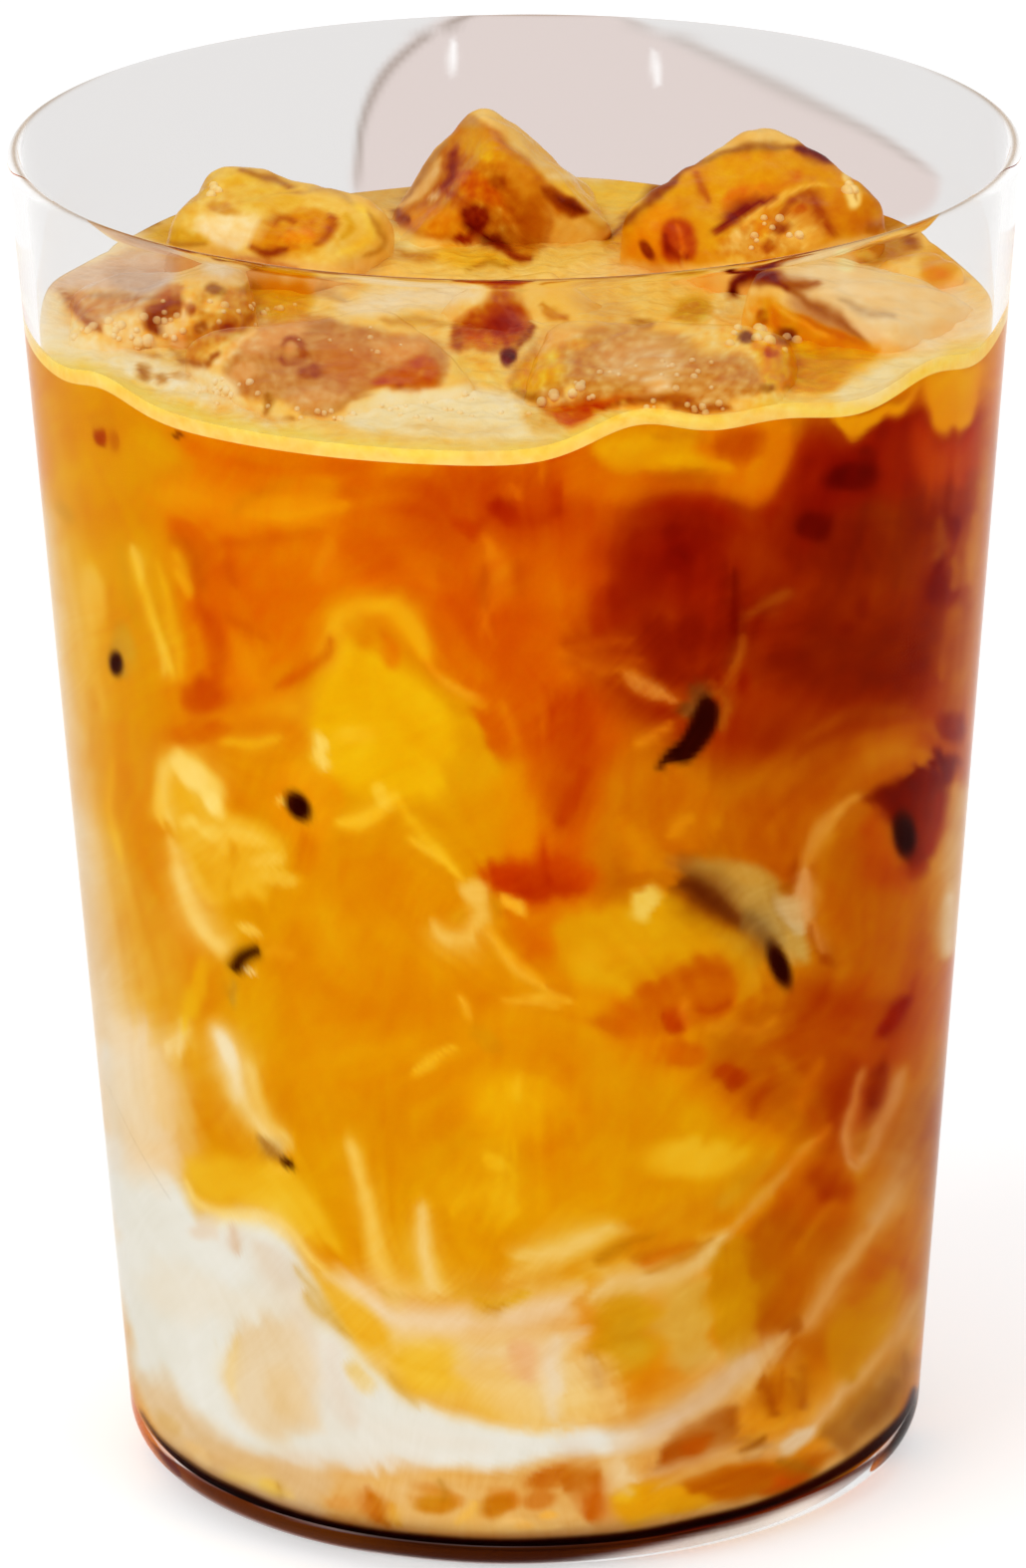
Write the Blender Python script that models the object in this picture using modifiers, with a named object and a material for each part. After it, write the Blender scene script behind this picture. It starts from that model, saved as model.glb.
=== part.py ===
"""Iced cortado in a thin tapered tumbler: milk below, coffee above, crema and melting ice on top.

Metres, +Z up. The origin is the middle of the foot, on the table. The side that shows faces -Y.
"""
import math
import random
from math import copysign, cos, log, pi, radians, sin, sqrt

import bmesh
import bpy
from mathutils import Vector

MM = 0.001

# The tumbler
RIM_RADIUS = 44.0 * MM
HEIGHT = 120.0 * MM
HEEL_RADIUS = 35.4 * MM          # outside, where the straight wall meets the rounded heel
HEEL_ROUND = 4.9 * MM
WALL = 1.3 * MM
FLOOR = 2.8 * MM                 # height of the inside floor
FOOT_RING = 3.4 * MM             # width of the flat ring that it stands on
PUSH_UP = 0.9 * MM               # height of the hollow inside the foot ring
INNER_HEEL_ROUND = 4.0 * MM
SEGMENTS = 60
HEEL_STEPS = 5
LIP_STEPS = 6

# The drink
LEVEL = 104.6 * MM               # top of the crema away from the wall
CREMA = 1.3 * MM                 # thickness of the crema
GAP = 0.3 * MM                   # clearance between neighbouring pieces
CLIMB = 5.0 * MM                 # how far in from the wall the crema's edge climbs

# Where the crema's edge climbs the wall: angle, height, half width in degrees
WALL_SWELLS = (
    (-147, 1.3 * MM, 8),
    (-76, 2.7 * MM, 8),
    (-59, 1.9 * MM, 11),
    (-33, 1.9 * MM, 10),
    (-4, 0.9 * MM, 12),
    (38, 1.2 * MM, 13),
    (84, 0.7 * MM, 16),
    (133, 1.1 * MM, 12),
    (172, 0.8 * MM, 11),
)

# The milk's upper face: low at the front, high at the left
MILK_FRONT = 10.0 * MM
MILK_CURVE = 14.7                # per metre, across X
MILK_SLOPE_X = -0.11
MILK_SLOPE_Y = 0.12
MILK_SWELL = 1.2 * MM

# The ice: name, middle, half size, edge rounding, all in millimetres; then tilt about X, tilt
# about Y and spin about Z in degrees, with the spin first
ICE = (
    ("ice_back_left", (-22.0, 17.4, 101.6), (9.4, 8.0, 9.5), 3.4, (16, 9, -18)),
    ("ice_back_middle", (-1.6, 28.3, 104.0), (7.5, 6.5, 7.8), 1.7, (0, 39, 8)),
    ("ice_back_right", (21.1, 18.4, 102.4), (10.4, 8.9, 9.5), 3.5, (22, 1, 46)),
    ("ice_left", (-30.2, -1.2, 98.0), (8.5, 8.6, 9.5), 3.0, (4, -6, 4)),
    ("ice_front_left", (-16.0, -19.8, 98.0), (10.5, 10.0, 9.5), 3.0, (8, 3, 25)),
    ("ice_front_right", (12.0, -20.6, 98.3), (11.5, 9.5, 9.5), 3.2, (6, 3, -8)),
    ("ice_right", (28.6, -3.2, 98.8), (8.3, 8.3, 9.0), 2.4, (0, 12, -34)),
    ("ice_middle", (0.8, 0.9, 97.2), (7.5, 7.3, 8.5), 2.8, (12, 12, 40)),
    ("ice_far_right", (35.3, 9.8, 101.8), (3.5, 3.5, 5.0), 1.5, (6, 4, 25)),
)
MELT = 0.9 * MM                  # how far melting has moved the blocks' faces
MELT_BIAS = 0.3                  # share of it that is inwards all over
WEAR_SEED = 40
WAVES = 4
WAVE_PITCH = (180.0, 480.0)      # radians per metre
ICE_CUTS = 4
EDGE_CROWD = 0.7                 # below 1, the block's rows lie closer together at its edges


def outer_radius(z):
    """Radius of the tumbler's straight outer wall at height z."""
    share = (z - HEEL_ROUND) / (HEIGHT - HEEL_ROUND)
    return HEEL_RADIUS + (RIM_RADIUS - HEEL_RADIUS) * share


def inner_radius(z):
    """Radius of the tumbler's inside at height z, with its rounded inner heel."""
    heel_top = FLOOR + INNER_HEEL_ROUND
    if z >= heel_top:
        return outer_radius(z) - WALL
    drop = min(heel_top - z, INNER_HEEL_ROUND)
    arc = math.sqrt(INNER_HEEL_ROUND ** 2 - drop ** 2)
    return outer_radius(heel_top) - WALL - INNER_HEEL_ROUND + arc


def collection(name):
    group = bpy.data.collections.new(name)
    bpy.context.scene.collection.children.link(group)
    return group


def material(name, colour, roughness, transmission=0.0):
    made = bpy.data.materials.new(name)
    made.use_nodes = True
    shader = made.node_tree.nodes["Principled BSDF"]
    shader.inputs["Base Color"].default_value = (*colour, 1.0)
    shader.inputs["Roughness"].default_value = roughness
    shader.inputs["Metallic"].default_value = 0.0
    shader.inputs["Transmission Weight"].default_value = transmission
    return made


def mesh_object(name, mesh, group, finish=None):
    made = bpy.data.objects.new(name, mesh)
    group.objects.link(made)
    if finish:
        mesh.materials.append(finish)
    return made


def arc(centre, radius, start, end, steps):
    """Points (radius from the axis, height) along an arc, angles in degrees."""
    angles = [radians(start + (end - start) * i / steps) for i in range(steps + 1)]
    return [(centre[0] + radius * cos(a), centre[1] + radius * sin(a)) for a in angles]


def turned(name, profile, group, finish=None):
    """A profile of (radius, height) points, top to bottom down its outer side, spun about Z."""
    mesh = bpy.data.meshes.new(name)
    points = [(radius, 0.0, height) for radius, height in profile]
    mesh.from_pydata(points, [(i, i + 1) for i in range(len(points) - 1)], [])
    made = mesh_object(name, mesh, group, finish)
    screw = made.modifiers.new("Turn", "SCREW")
    screw.axis = "Z"
    screw.steps = SEGMENTS
    screw.render_steps = SEGMENTS
    screw.use_merge_vertices = True
    screw.merge_threshold = 0.00001
    screw.use_smooth_shade = True
    return made


def applied(made):
    """Swap the object's mesh for its evaluated one and drop its modifiers."""
    bpy.context.view_layer.update()
    graph = bpy.context.evaluated_depsgraph_get()
    mesh = bpy.data.meshes.new_from_object(made.evaluated_get(graph))
    made.modifiers.clear()
    made.data = mesh
    mesh.name = made.name
    return made


def smooth(made, angle=40):
    made.data.shade_smooth()
    made.data.set_sharp_from_angle(angle=radians(angle))


def tumbler(group, finish):
    lip = WALL / 2
    lip_middle = (RIM_RADIUS - lip, HEIGHT - lip)
    outer_heel_middle = (HEEL_RADIUS - HEEL_ROUND, HEEL_ROUND)
    inner_heel_middle = (outer_radius(FLOOR + INNER_HEEL_ROUND) - WALL - INNER_HEEL_ROUND,
                         FLOOR + INNER_HEEL_ROUND)
    ring_inside = outer_heel_middle[0] - FOOT_RING
    profile = [(0.0, FLOOR)]
    profile += arc(inner_heel_middle, INNER_HEEL_ROUND, -90, 0, HEEL_STEPS)
    profile += arc(lip_middle, lip, 180, 0, LIP_STEPS)
    profile += arc(outer_heel_middle, HEEL_ROUND, 0, -90, HEEL_STEPS)
    profile += [(ring_inside, 0.0), (ring_inside - PUSH_UP, PUSH_UP * 0.7)]
    profile += [(ring_inside * 0.5, PUSH_UP), (0.0, PUSH_UP)]
    made = applied(turned("glass", profile, group, finish))
    smooth(made)
    return made


def crema_top(x, y):
    """Height of the crema: flat in the middle, wavy where it climbs the wall."""
    radius = math.hypot(x, y)
    angle = math.degrees(math.atan2(y, x))
    climb = max(0.0, 1.0 - (inner_radius(LEVEL) - radius) / CLIMB)
    height = LEVEL
    for middle, rise, width in WALL_SWELLS:
        off = (angle - middle + 180) % 360 - 180
        height += rise * climb ** 2 * math.exp(-(off / width) ** 2)
    return height


def crema_bottom(x, y):
    return crema_top(x, y) - CREMA


def coffee_top(x, y):
    return crema_bottom(x, y) - GAP


def milk_top(x, y):
    """Height of the milk's slanting, gently swelling upper face."""
    front = y + inner_radius(MILK_FRONT)
    swell = MILK_SWELL * sin(95 * x + 1.2) * cos(80 * y - 0.4)
    return MILK_FRONT + MILK_CURVE * x * x + MILK_SLOPE_X * x + MILK_SLOPE_Y * front + swell


def coffee_bottom(x, y):
    return milk_top(x, y) + GAP


def milk_bottom(x, y):
    return FLOOR + GAP


def poured(name, floor, surface, across, up, group, finish):
    """A body of drink that fills the tumbler between two uneven faces.

    It is a turned drum of radius 1 and height 1, with rings at the shares in across and up,
    and each of its points then goes to its place between the two faces.
    """
    profile = [(share, 1.0) for share in across] + [(1.0, share) for share in reversed(up)]
    profile += [(share, 0.0) for share in reversed(across)]
    made = applied(turned(name, profile, group, finish))
    for vertex in made.data.vertices:
        share_out = math.hypot(vertex.co.x, vertex.co.y)
        share_up = vertex.co.z
        angle = math.atan2(vertex.co.y, vertex.co.x)
        height = LEVEL * share_up
        for _ in range(6):
            radius = share_out * (inner_radius(height) - GAP)
            x = radius * cos(angle)
            y = radius * sin(angle)
            height = floor(x, y) + (surface(x, y) - floor(x, y)) * share_up
        vertex.co = (x, y, height)
    shape = bmesh.new()
    shape.from_mesh(made.data)
    bmesh.ops.triangulate(shape, faces=shape.faces[:], quad_method="SHORT_EDGE")
    shape.to_mesh(made.data)
    shape.free()
    smooth(made)
    return made


def wear(number):
    """Four seeded waves that melting has left in block number: direction, pitch and phase."""
    draw = random.Random(WEAR_SEED + number)
    waves = []
    for _ in range(WAVES):
        direction = Vector([draw.uniform(-1, 1) for _ in range(3)]).normalized()
        waves.append((direction * draw.uniform(*WAVE_PITCH), draw.uniform(0, 2 * pi)))
    return waves


def worn(point, waves):
    """How far melting has moved a point of a block: mostly inwards."""
    height = sum(sin(wave.dot(point) + phase) for wave, phase in waves) / WAVES
    return MELT * (height - MELT_BIAS)


def ice_block(number, grow, group, finish=None):
    """A melting block: a box with rounded edges and dished, uneven faces."""
    name, middle, half, rounding, (tilt_x, tilt_y, spin) = ICE[number]
    size = Vector(half) * MM
    # The power of the rounded box whose edges sit where a fillet of this radius would
    pull_in = 1.0 - (sqrt(2) - 1) * rounding / (sqrt(2) * min(half))
    power = -log(2) / log(pull_in)
    waves = wear(number)
    shape = bmesh.new()
    bmesh.ops.create_cube(shape, size=2.0)
    bmesh.ops.subdivide_edges(shape, edges=shape.edges[:], cuts=ICE_CUTS, use_grid_fill=True)
    for vertex in shape.verts:
        spread = Vector([copysign(abs(side) ** EDGE_CROWD, side) for side in vertex.co])
        reach = sum(abs(side) ** power for side in spread) ** (1 / power)
        place = spread / reach * size
        vertex.co = place + place.normalized() * worn(place, waves)
    bmesh.ops.triangulate(shape, faces=shape.faces[:], quad_method="SHORT_EDGE")
    shape.normal_update()
    for vertex in shape.verts:
        vertex.co += vertex.normal * grow
    mesh = bpy.data.meshes.new(name)
    shape.to_mesh(mesh)
    shape.free()
    made = mesh_object(name if finish else "room_for_" + name, mesh, group, finish)
    made.rotation_mode = "ZYX"
    made.rotation_euler = (radians(tilt_x), radians(tilt_y), radians(spin))
    made.location = Vector(middle) * MM
    mesh.shade_smooth()
    return made


def cut_round_ice(made, rooms):
    """Cut room for every block out of a body of drink."""
    cut = made.modifiers.new("Room for ice", "BOOLEAN")
    cut.operation = "DIFFERENCE"
    cut.operand_type = "COLLECTION"
    cut.collection = rooms
    cut.solver = "EXACT"


def main():
    for old in list(bpy.data.objects):
        bpy.data.objects.remove(old, do_unlink=True)
    drink = collection("iced_cortado")
    rooms = collection("rooms_for_ice")

    clear = material("clear_glass", (0.92, 0.93, 0.93), 0.03, 1.0)
    white = material("milk_white", (0.87, 0.82, 0.70), 0.35)
    amber = material("coffee_amber", (0.60, 0.22, 0.02), 0.3)
    cream = material("crema_cream", (0.90, 0.66, 0.26), 0.5)
    frozen = material("melting_ice", (0.78, 0.48, 0.16), 0.15, 0.5)

    tumbler(drink, clear)
    rows_across = (0.0, 0.3, 0.55, 0.75, 0.87, 0.93, 0.97, 1.0)
    poured("milk", milk_bottom, milk_top, (0.0, 0.3, 0.6, 0.82, 1.0),
           (0.03, 0.08, 0.16, 0.3, 0.55), drink, white)
    coffee = poured("coffee", coffee_bottom, coffee_top, rows_across, (0.5,), drink, amber)
    crema = poured("crema", crema_bottom, crema_top, rows_across, (), drink, cream)

    for number in range(len(ICE)):
        ice_block(number, 0.0, drink, frozen)
        room = ice_block(number, GAP, rooms)
        room.hide_render = True
        room.display_type = "WIRE"
    cut_round_ice(coffee, rooms)
    cut_round_ice(crema, rooms)


main()
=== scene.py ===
"""The looks of an iced cortado: a thin clear tumbler, marbled milk and coffee, crema and melting ice.

Metres, +Z up. The origin is the middle of the foot, on the table. The side that shows faces -Y.
"""
import math
import random

import bmesh
import bpy
import numpy as np
from mathutils import Matrix, Vector
from mathutils.bvhtree import BVHTree


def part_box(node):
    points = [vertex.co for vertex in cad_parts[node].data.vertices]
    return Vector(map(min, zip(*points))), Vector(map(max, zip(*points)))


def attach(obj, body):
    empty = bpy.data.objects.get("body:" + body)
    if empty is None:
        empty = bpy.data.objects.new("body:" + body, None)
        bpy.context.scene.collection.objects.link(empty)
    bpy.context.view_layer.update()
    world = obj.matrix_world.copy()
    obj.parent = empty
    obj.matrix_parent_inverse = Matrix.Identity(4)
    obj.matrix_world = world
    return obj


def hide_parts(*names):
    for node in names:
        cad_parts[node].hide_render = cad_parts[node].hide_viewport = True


MM = 0.001

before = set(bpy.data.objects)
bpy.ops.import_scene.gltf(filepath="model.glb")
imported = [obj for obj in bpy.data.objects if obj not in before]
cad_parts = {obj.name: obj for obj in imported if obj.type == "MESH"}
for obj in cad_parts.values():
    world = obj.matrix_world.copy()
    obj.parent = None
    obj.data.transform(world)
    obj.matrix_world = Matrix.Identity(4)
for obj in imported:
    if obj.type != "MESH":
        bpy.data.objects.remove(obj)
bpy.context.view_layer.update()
glass_low, glass_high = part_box("glass")

# The tumbler, as in the solids
RIM_RADIUS = (glass_high.x - glass_low.x) / 2
HEIGHT = glass_high.z
HEEL_RADIUS = 35.4 * MM
HEEL_ROUND = 4.9 * MM
WALL = 1.3 * MM
FLOOR = 2.8 * MM
FOOT_RING = 3.4 * MM
PUSH_UP = 0.9 * MM
INNER_HEEL_ROUND = 4.0 * MM

# The drink, as in the solids
LEVEL = 104.6 * MM
CREMA = 1.3 * MM
CLIMB = 5.0 * MM
INTO_WALL = 0.12 * MM            # how far the drink reaches into the glass, so that no air shows
SINK = 1.1 * MM                  # how far it is drawn down into the foot, where thick glass bends the view
WALL_SWELLS = (
    (-147, 1.3 * MM, 8),
    (-76, 2.7 * MM, 8),
    (-59, 1.9 * MM, 11),
    (-33, 1.9 * MM, 10),
    (-4, 0.9 * MM, 12),
    (38, 1.2 * MM, 13),
    (84, 0.7 * MM, 16),
    (133, 1.1 * MM, 12),
    (172, 0.8 * MM, 11),
)
MILK_FRONT = 10.0 * MM
MILK_CURVE = 14.7
MILK_SLOPE_X = -0.11
MILK_SLOPE_Y = 0.12
MILK_SWELL = 1.2 * MM

# The ice: name, middle, half size, edge rounding, all in millimetres; then tilt about X, tilt
# about Y and spin about Z in degrees, with the spin first
ICE = (
    ("ice_back_left", (-22.0, 17.4, 101.6), (9.4, 8.0, 9.5), 3.4, (16, 9, -18)),
    ("ice_back_middle", (-1.6, 28.3, 104.0), (7.5, 6.5, 7.8), 1.7, (0, 39, 8)),
    ("ice_back_right", (21.1, 18.4, 102.4), (10.4, 8.9, 9.5), 3.5, (22, 1, 46)),
    ("ice_left", (-30.2, -1.2, 98.0), (8.5, 8.6, 9.5), 3.0, (4, -6, 4)),
    ("ice_front_left", (-16.0, -19.8, 98.0), (10.5, 10.0, 9.5), 3.0, (8, 3, 25)),
    ("ice_front_right", (12.0, -20.6, 98.3), (11.5, 9.5, 9.5), 3.2, (6, 3, -8)),
    ("ice_right", (28.6, -3.2, 98.8), (8.3, 8.3, 9.0), 2.4, (0, 12, -34)),
    ("ice_middle", (0.8, 0.9, 97.2), (7.5, 7.3, 8.5), 2.8, (12, 12, 40)),
    ("ice_far_right", (35.3, 9.8, 101.8), (3.5, 3.5, 5.0), 1.5, (6, 4, 25)),
)
MELT = 0.9 * MM
MELT_BIAS = 0.3
WEAR_SEED = 40
WAVES = 4
WAVE_PITCH = (180.0, 480.0)
EDGE_CROWD = 0.7

# The camera, and the size in pixels of the picture that it takes
CAMERA_PLACE = Vector((0.0, -1.0005, 0.3941))
CAMERA_PITCH = math.radians(18.395)      # downwards
CAMERA_TURN = math.radians(0.034)        # to the left
CAMERA_ROLL = math.radians(0.5)          # clockwise
LENS = 274.45
SENSOR = 36.0
PICTURE = (1030, 1574)


def camera_axes():
    """The camera's right, up and forward directions."""
    level = Matrix.Rotation(math.radians(90) - CAMERA_PITCH, 3, "X")
    turned = Matrix.Rotation(CAMERA_TURN, 3, "Z") @ level @ Matrix.Rotation(-CAMERA_ROLL, 3, "Z")
    return turned


def in_picture(points):
    """Where the camera sees the points, in the picture's pixels."""
    turned = np.array(camera_axes())
    off = (points - np.array(CAMERA_PLACE)) @ turned
    pixels = LENS / SENSOR * PICTURE[1]
    x = PICTURE[0] / 2 + pixels * off[:, 0] / -off[:, 2]
    y = PICTURE[1] / 2 - pixels * off[:, 1] / -off[:, 2]
    return x, y


# Colours of the drink, as red, green and blue from 0 to 255
BLACK_BROWN = (44, 9, 2)
RED_BROWN = (160, 46, 0)
RUST = (190, 62, 0)
DEEP_ORANGE = (210, 86, 0)
BURNT = (188, 92, 4)
ORANGE = (226, 112, 0)
AMBER = (223, 130, 4)
GOLD = (224, 146, 7)
YELLOW = (242, 182, 28)
PALE_GOLD = (248, 204, 88)
CREAM = (244, 216, 150)
MILK = (232, 229, 216)
TAN = (224, 186, 132)
GREY_BROWN = (104, 58, 20)
SMOKE = (190, 146, 70)


def smoothstep(low, high, value):
    share = np.clip((value - low) / (high - low), 0.0, 1.0)
    return share * share * (3.0 - 2.0 * share)


def lattice(seed):
    draw = random.Random(seed)
    turns = [draw.uniform(0.0, 2.0 * math.pi) for _ in range(1024)]
    return np.cos(turns), np.sin(turns)


def noise(x, y, seed=0):
    """Smooth noise from -1 to 1, from slopes at the corners of a seeded lattice."""
    slope_x, slope_y = lattice(seed)
    cell_x, cell_y = np.floor(x), np.floor(y)
    near_x, near_y = x - cell_x, y - cell_y
    ease_x = near_x ** 3 * (near_x * (near_x * 6 - 15) + 10)
    ease_y = near_y ** 3 * (near_y * (near_y * 6 - 15) + 10)

    def corner(step_x, step_y):
        place = ((cell_x + step_x) * 157 + (cell_y + step_y) * 311).astype(int) % 1024
        return slope_x[place] * (near_x - step_x) + slope_y[place] * (near_y - step_y)

    low = corner(0, 0) * (1 - ease_x) + corner(1, 0) * ease_x
    high = corner(0, 1) * (1 - ease_x) + corner(1, 1) * ease_x
    return 1.5 * (low * (1 - ease_y) + high * ease_y)


def fractal(x, y, pitch, octaves, seed=0):
    total = 0.0
    for octave in range(octaves):
        scale = 2.0 ** octave
        total = total + noise(x * scale / pitch, y * scale / pitch, seed + octave) / scale
    return total


def flowing(points, closed=False, steps=5):
    """A smooth line through the points."""
    points = np.array(points, float)
    count = len(points)
    if count < 3:
        return points
    if closed:
        around = np.vstack([points[-1], points, points[0], points[1]])
    else:
        around = np.vstack([2 * points[0] - points[1], points, 2 * points[-1] - points[-2]])
    line = []
    for i in range(1, len(around) - 2):
        a, b, c, d = around[i - 1], around[i], around[i + 1], around[i + 2]
        for step in range(steps):
            t = step / steps
            line.append(0.5 * (2 * b + (c - a) * t + (2 * a - 5 * b + 4 * c - d) * t ** 2
                               + (3 * b - a - 3 * c + d) * t ** 3))
    if not closed:
        line.append(points[-1])
    return np.array(line)


def nearest(x, y, line):
    """Distance to a line and share of the way along it, for each point."""
    best = np.full(x.shape, np.inf)
    share = np.zeros(x.shape)
    lengths = np.hypot(*(line[1:] - line[:-1]).T)
    whole = lengths.sum()
    gone = 0.0
    for start, end, length in zip(line[:-1], line[1:], lengths):
        way = end - start
        t = np.clip(((x - start[0]) * way[0] + (y - start[1]) * way[1]) / (length ** 2 + 1e-9), 0, 1)
        off_x = x - start[0] - way[0] * t
        off_y = y - start[1] - way[1] * t
        distance = off_x ** 2 + off_y ** 2
        closer = distance < best
        best = np.where(closer, distance, best)
        share = np.where(closer, (gone + t * length) / whole, share)
        gone += length
    return np.sqrt(best), share


def inside(x, y, outline):
    crossed = np.zeros(x.shape, bool)
    for (ax, ay), (bx, by) in zip(outline, np.roll(outline, -1, axis=0)):
        if ay == by:
            continue
        spans = (ay > y) != (by > y)
        crossed ^= spans & (x < (bx - ax) * (y - ay) / (by - ay) + ax)
    return crossed


def patch(x, y, strength, feather, points):
    """An area with a soft edge."""
    outline = flowing(points, closed=True)
    distance, _ = nearest(x, y, np.vstack([outline, outline[:1]]))
    distance = np.where(inside(x, y, outline), distance, -distance)
    return strength * smoothstep(-feather, feather, distance)


def streak(x, y, strength, width, points):
    """A soft line that tapers: its width is at the start, the middle and the end."""
    widths = width if isinstance(width, tuple) else (0.3 * width, width, 0.3 * width)
    distance, share = nearest(x, y, flowing(points))
    half = 0.5 * np.interp(share, (0.0, 0.5, 1.0), widths) + 1.0
    ends = smoothstep(-0.02, 0.12, share) * (1.0 - smoothstep(0.88, 1.02, share))
    return strength * ends * np.exp(-(distance / half) ** 2)


def spot(x, y, strength, width, points):
    """An oval: half its length, half its width, and its turn in degrees."""
    long, short, turn = width
    middle_x, middle_y = points[0]
    turn = math.radians(turn)
    along = (x - middle_x) * math.cos(turn) + (y - middle_y) * math.sin(turn)
    across = (y - middle_y) * math.cos(turn) - (x - middle_x) * math.sin(turn)
    reach = np.hypot(along / long, across / short)
    return strength * (1.0 - smoothstep(0.55, 1.35, reach))


def reach_of(brush, width):
    """How far from its points a brush leaves paint."""
    if brush is patch:
        return width * 1.05
    if brush is spot:
        return 1.4 * max(width[0], width[1])
    return 1.1 * (max(width) if isinstance(width, tuple) else width) + 3


def pairs(numbers):
    """A stroke's points, from x and y in turn."""
    return np.reshape(numbers, (-1, 2)).astype(float)


def paint(canvas, x, y, strokes):
    """Lay the strokes over the canvas, one after the other."""
    for brush, colour, strength, width, *numbers in strokes:
        points = pairs(numbers)
        swing = 0.15 * np.ptp(points, axis=0).max() if len(points) > 2 else 0
        margin = reach_of(brush, width) + swing
        low, high = points.min(axis=0) - margin, points.max(axis=0) + margin
        near = np.nonzero((x > low[0]) & (x < high[0]) & (y > low[1]) & (y < high[1]))[0]
        if len(near) == 0:
            continue
        cover = brush(x[near], y[near], strength, width, points)
        canvas[near] += (np.array(colour, float) - canvas[near]) * cover[:, None]
    return canvas


GRID = 2.0                       # the step of the wall's picture, in pixels


def look(grid, x, y, step=GRID):
    """A grid's value at each place, between its points."""
    column = np.clip(x / step, 0, grid.shape[1] - 1.001)
    row = np.clip(y / step, 0, grid.shape[0] - 1.001)
    left, top = column.astype(int), row.astype(int)
    right_share, low_share = column - left, row - top
    if grid.ndim == 3:
        right_share, low_share = right_share[..., None], low_share[..., None]
    upper = grid[top, left] * (1 - right_share) + grid[top, left + 1] * right_share
    lower = grid[top + 1, left] * (1 - right_share) + grid[top + 1, left + 1] * right_share
    return upper * (1 - low_share) + lower * low_share


CURRENT_STEP = 10.0              # the step of the currents' grid, in pixels
CURRENT_REACH = 26.0             # how far a line carries the drink beside it, in pixels


def currents(strokes, size):
    """Which way the drink has run, from the lines that are painted on it.

    It gives a signed flow, weak where the lines disagree, and a direction that has no sign.
    """
    columns, rows = int(size[0] / CURRENT_STEP) + 2, int(size[1] / CURRENT_STEP) + 2
    x, y = np.meshgrid(np.arange(columns) * CURRENT_STEP, np.arange(rows) * CURRENT_STEP)
    flow = np.zeros((rows, columns, 2))
    twice = np.zeros((rows, columns, 2))
    weight = np.full((rows, columns), 1e-6)
    for brush, _, _, _, *numbers in strokes:
        if brush is not streak:
            continue
        line = flowing(pairs(numbers), steps=2)
        for start, end in zip(line[:-1], line[1:]):
            way = end - start
            length = math.hypot(*way)
            middle = (start + end) / 2
            near = length / ((x - middle[0]) ** 2 + (y - middle[1]) ** 2 + CURRENT_REACH ** 2) ** 1.5
            angle = math.atan2(way[1], way[0])
            flow += near[..., None] * (way / length)
            twice += near[..., None] * (math.cos(2 * angle), math.sin(2 * angle))
            weight += near
    flow /= weight[..., None]
    angle = 0.5 * np.arctan2(twice[..., 1], twice[..., 0])
    return flow, np.stack([np.cos(angle), np.sin(angle)], axis=-1)


def threads(x, y, direction, pitch, length, seed):
    """Noise drawn out along the currents, from about -1 to 1."""
    total = noise(x / pitch, y / pitch, seed)
    count = 1
    for sign in (1.0, -1.0):
        place_x, place_y = x, y
        step = pitch * 0.9
        last = sign * look(direction, x, y, CURRENT_STEP)
        for _ in range(int(length / step)):
            way = look(direction, place_x, place_y, CURRENT_STEP)
            way = way * np.where((way * last).sum(axis=-1, keepdims=True) < 0, -1.0, 1.0)
            last = way
            place_x = place_x + way[..., 0] * step
            place_y = place_y + way[..., 1] * step
            total = total + noise(place_x / pitch, place_y / pitch, seed)
            count += 1
    return np.clip(total / math.sqrt(count) * 1.4, -1.5, 1.5)


GLOW = 2.8                       # a streak's soft glow, this much wider than the streak
GLOW_SHARE = 0.4                 # the glow's strength, and the streak's own
LINE_SHARE = 0.7
FINE_THREADS = (9.0, 70.0, 301)  # pitch and length in pixels, and seed
BROAD_THREADS = (22.0, 120.0, 311)
DRAG_FINE = 3                    # how far the threads drag the paint along, in pixels
DRAG_BROAD = 12
DETAIL_DRAG = 0.2                # the share of it that the finer marks follow
MARBLING_WANDER = (8, 120, 11, 4)  # how far it wanders and its pitch in pixels, its seed and octaves
DETAIL_WANDER = (3, 40, 31, 3)
TONE_FINE = 0.05                 # how much threads and clouds deepen the colour
TONE_BROAD = 0.07
TONE_CLOUD = 0.16


def glowing(strokes):
    """The strokes, with a faint wide streak under each streak."""
    for brush, colour, strength, width, *numbers in strokes:
        if brush is streak:
            wide = tuple(GLOW * part for part in width) if isinstance(width, tuple) else GLOW * width
            yield brush, colour, GLOW_SHARE * strength, wide, *numbers
            yield brush, colour, LINE_SHARE * strength, width, *numbers
        else:
            yield brush, colour, strength, width, *numbers


def wandering(x, y, far, pitch, seed, octaves=3):
    """The picture's places, moved about a little so that no painted edge is plain."""
    moved_x = x + far * fractal(x, y, pitch, octaves, seed)
    moved_y = y + far * fractal(x, y, pitch, octaves, seed + 10)
    return moved_x, moved_y


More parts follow.
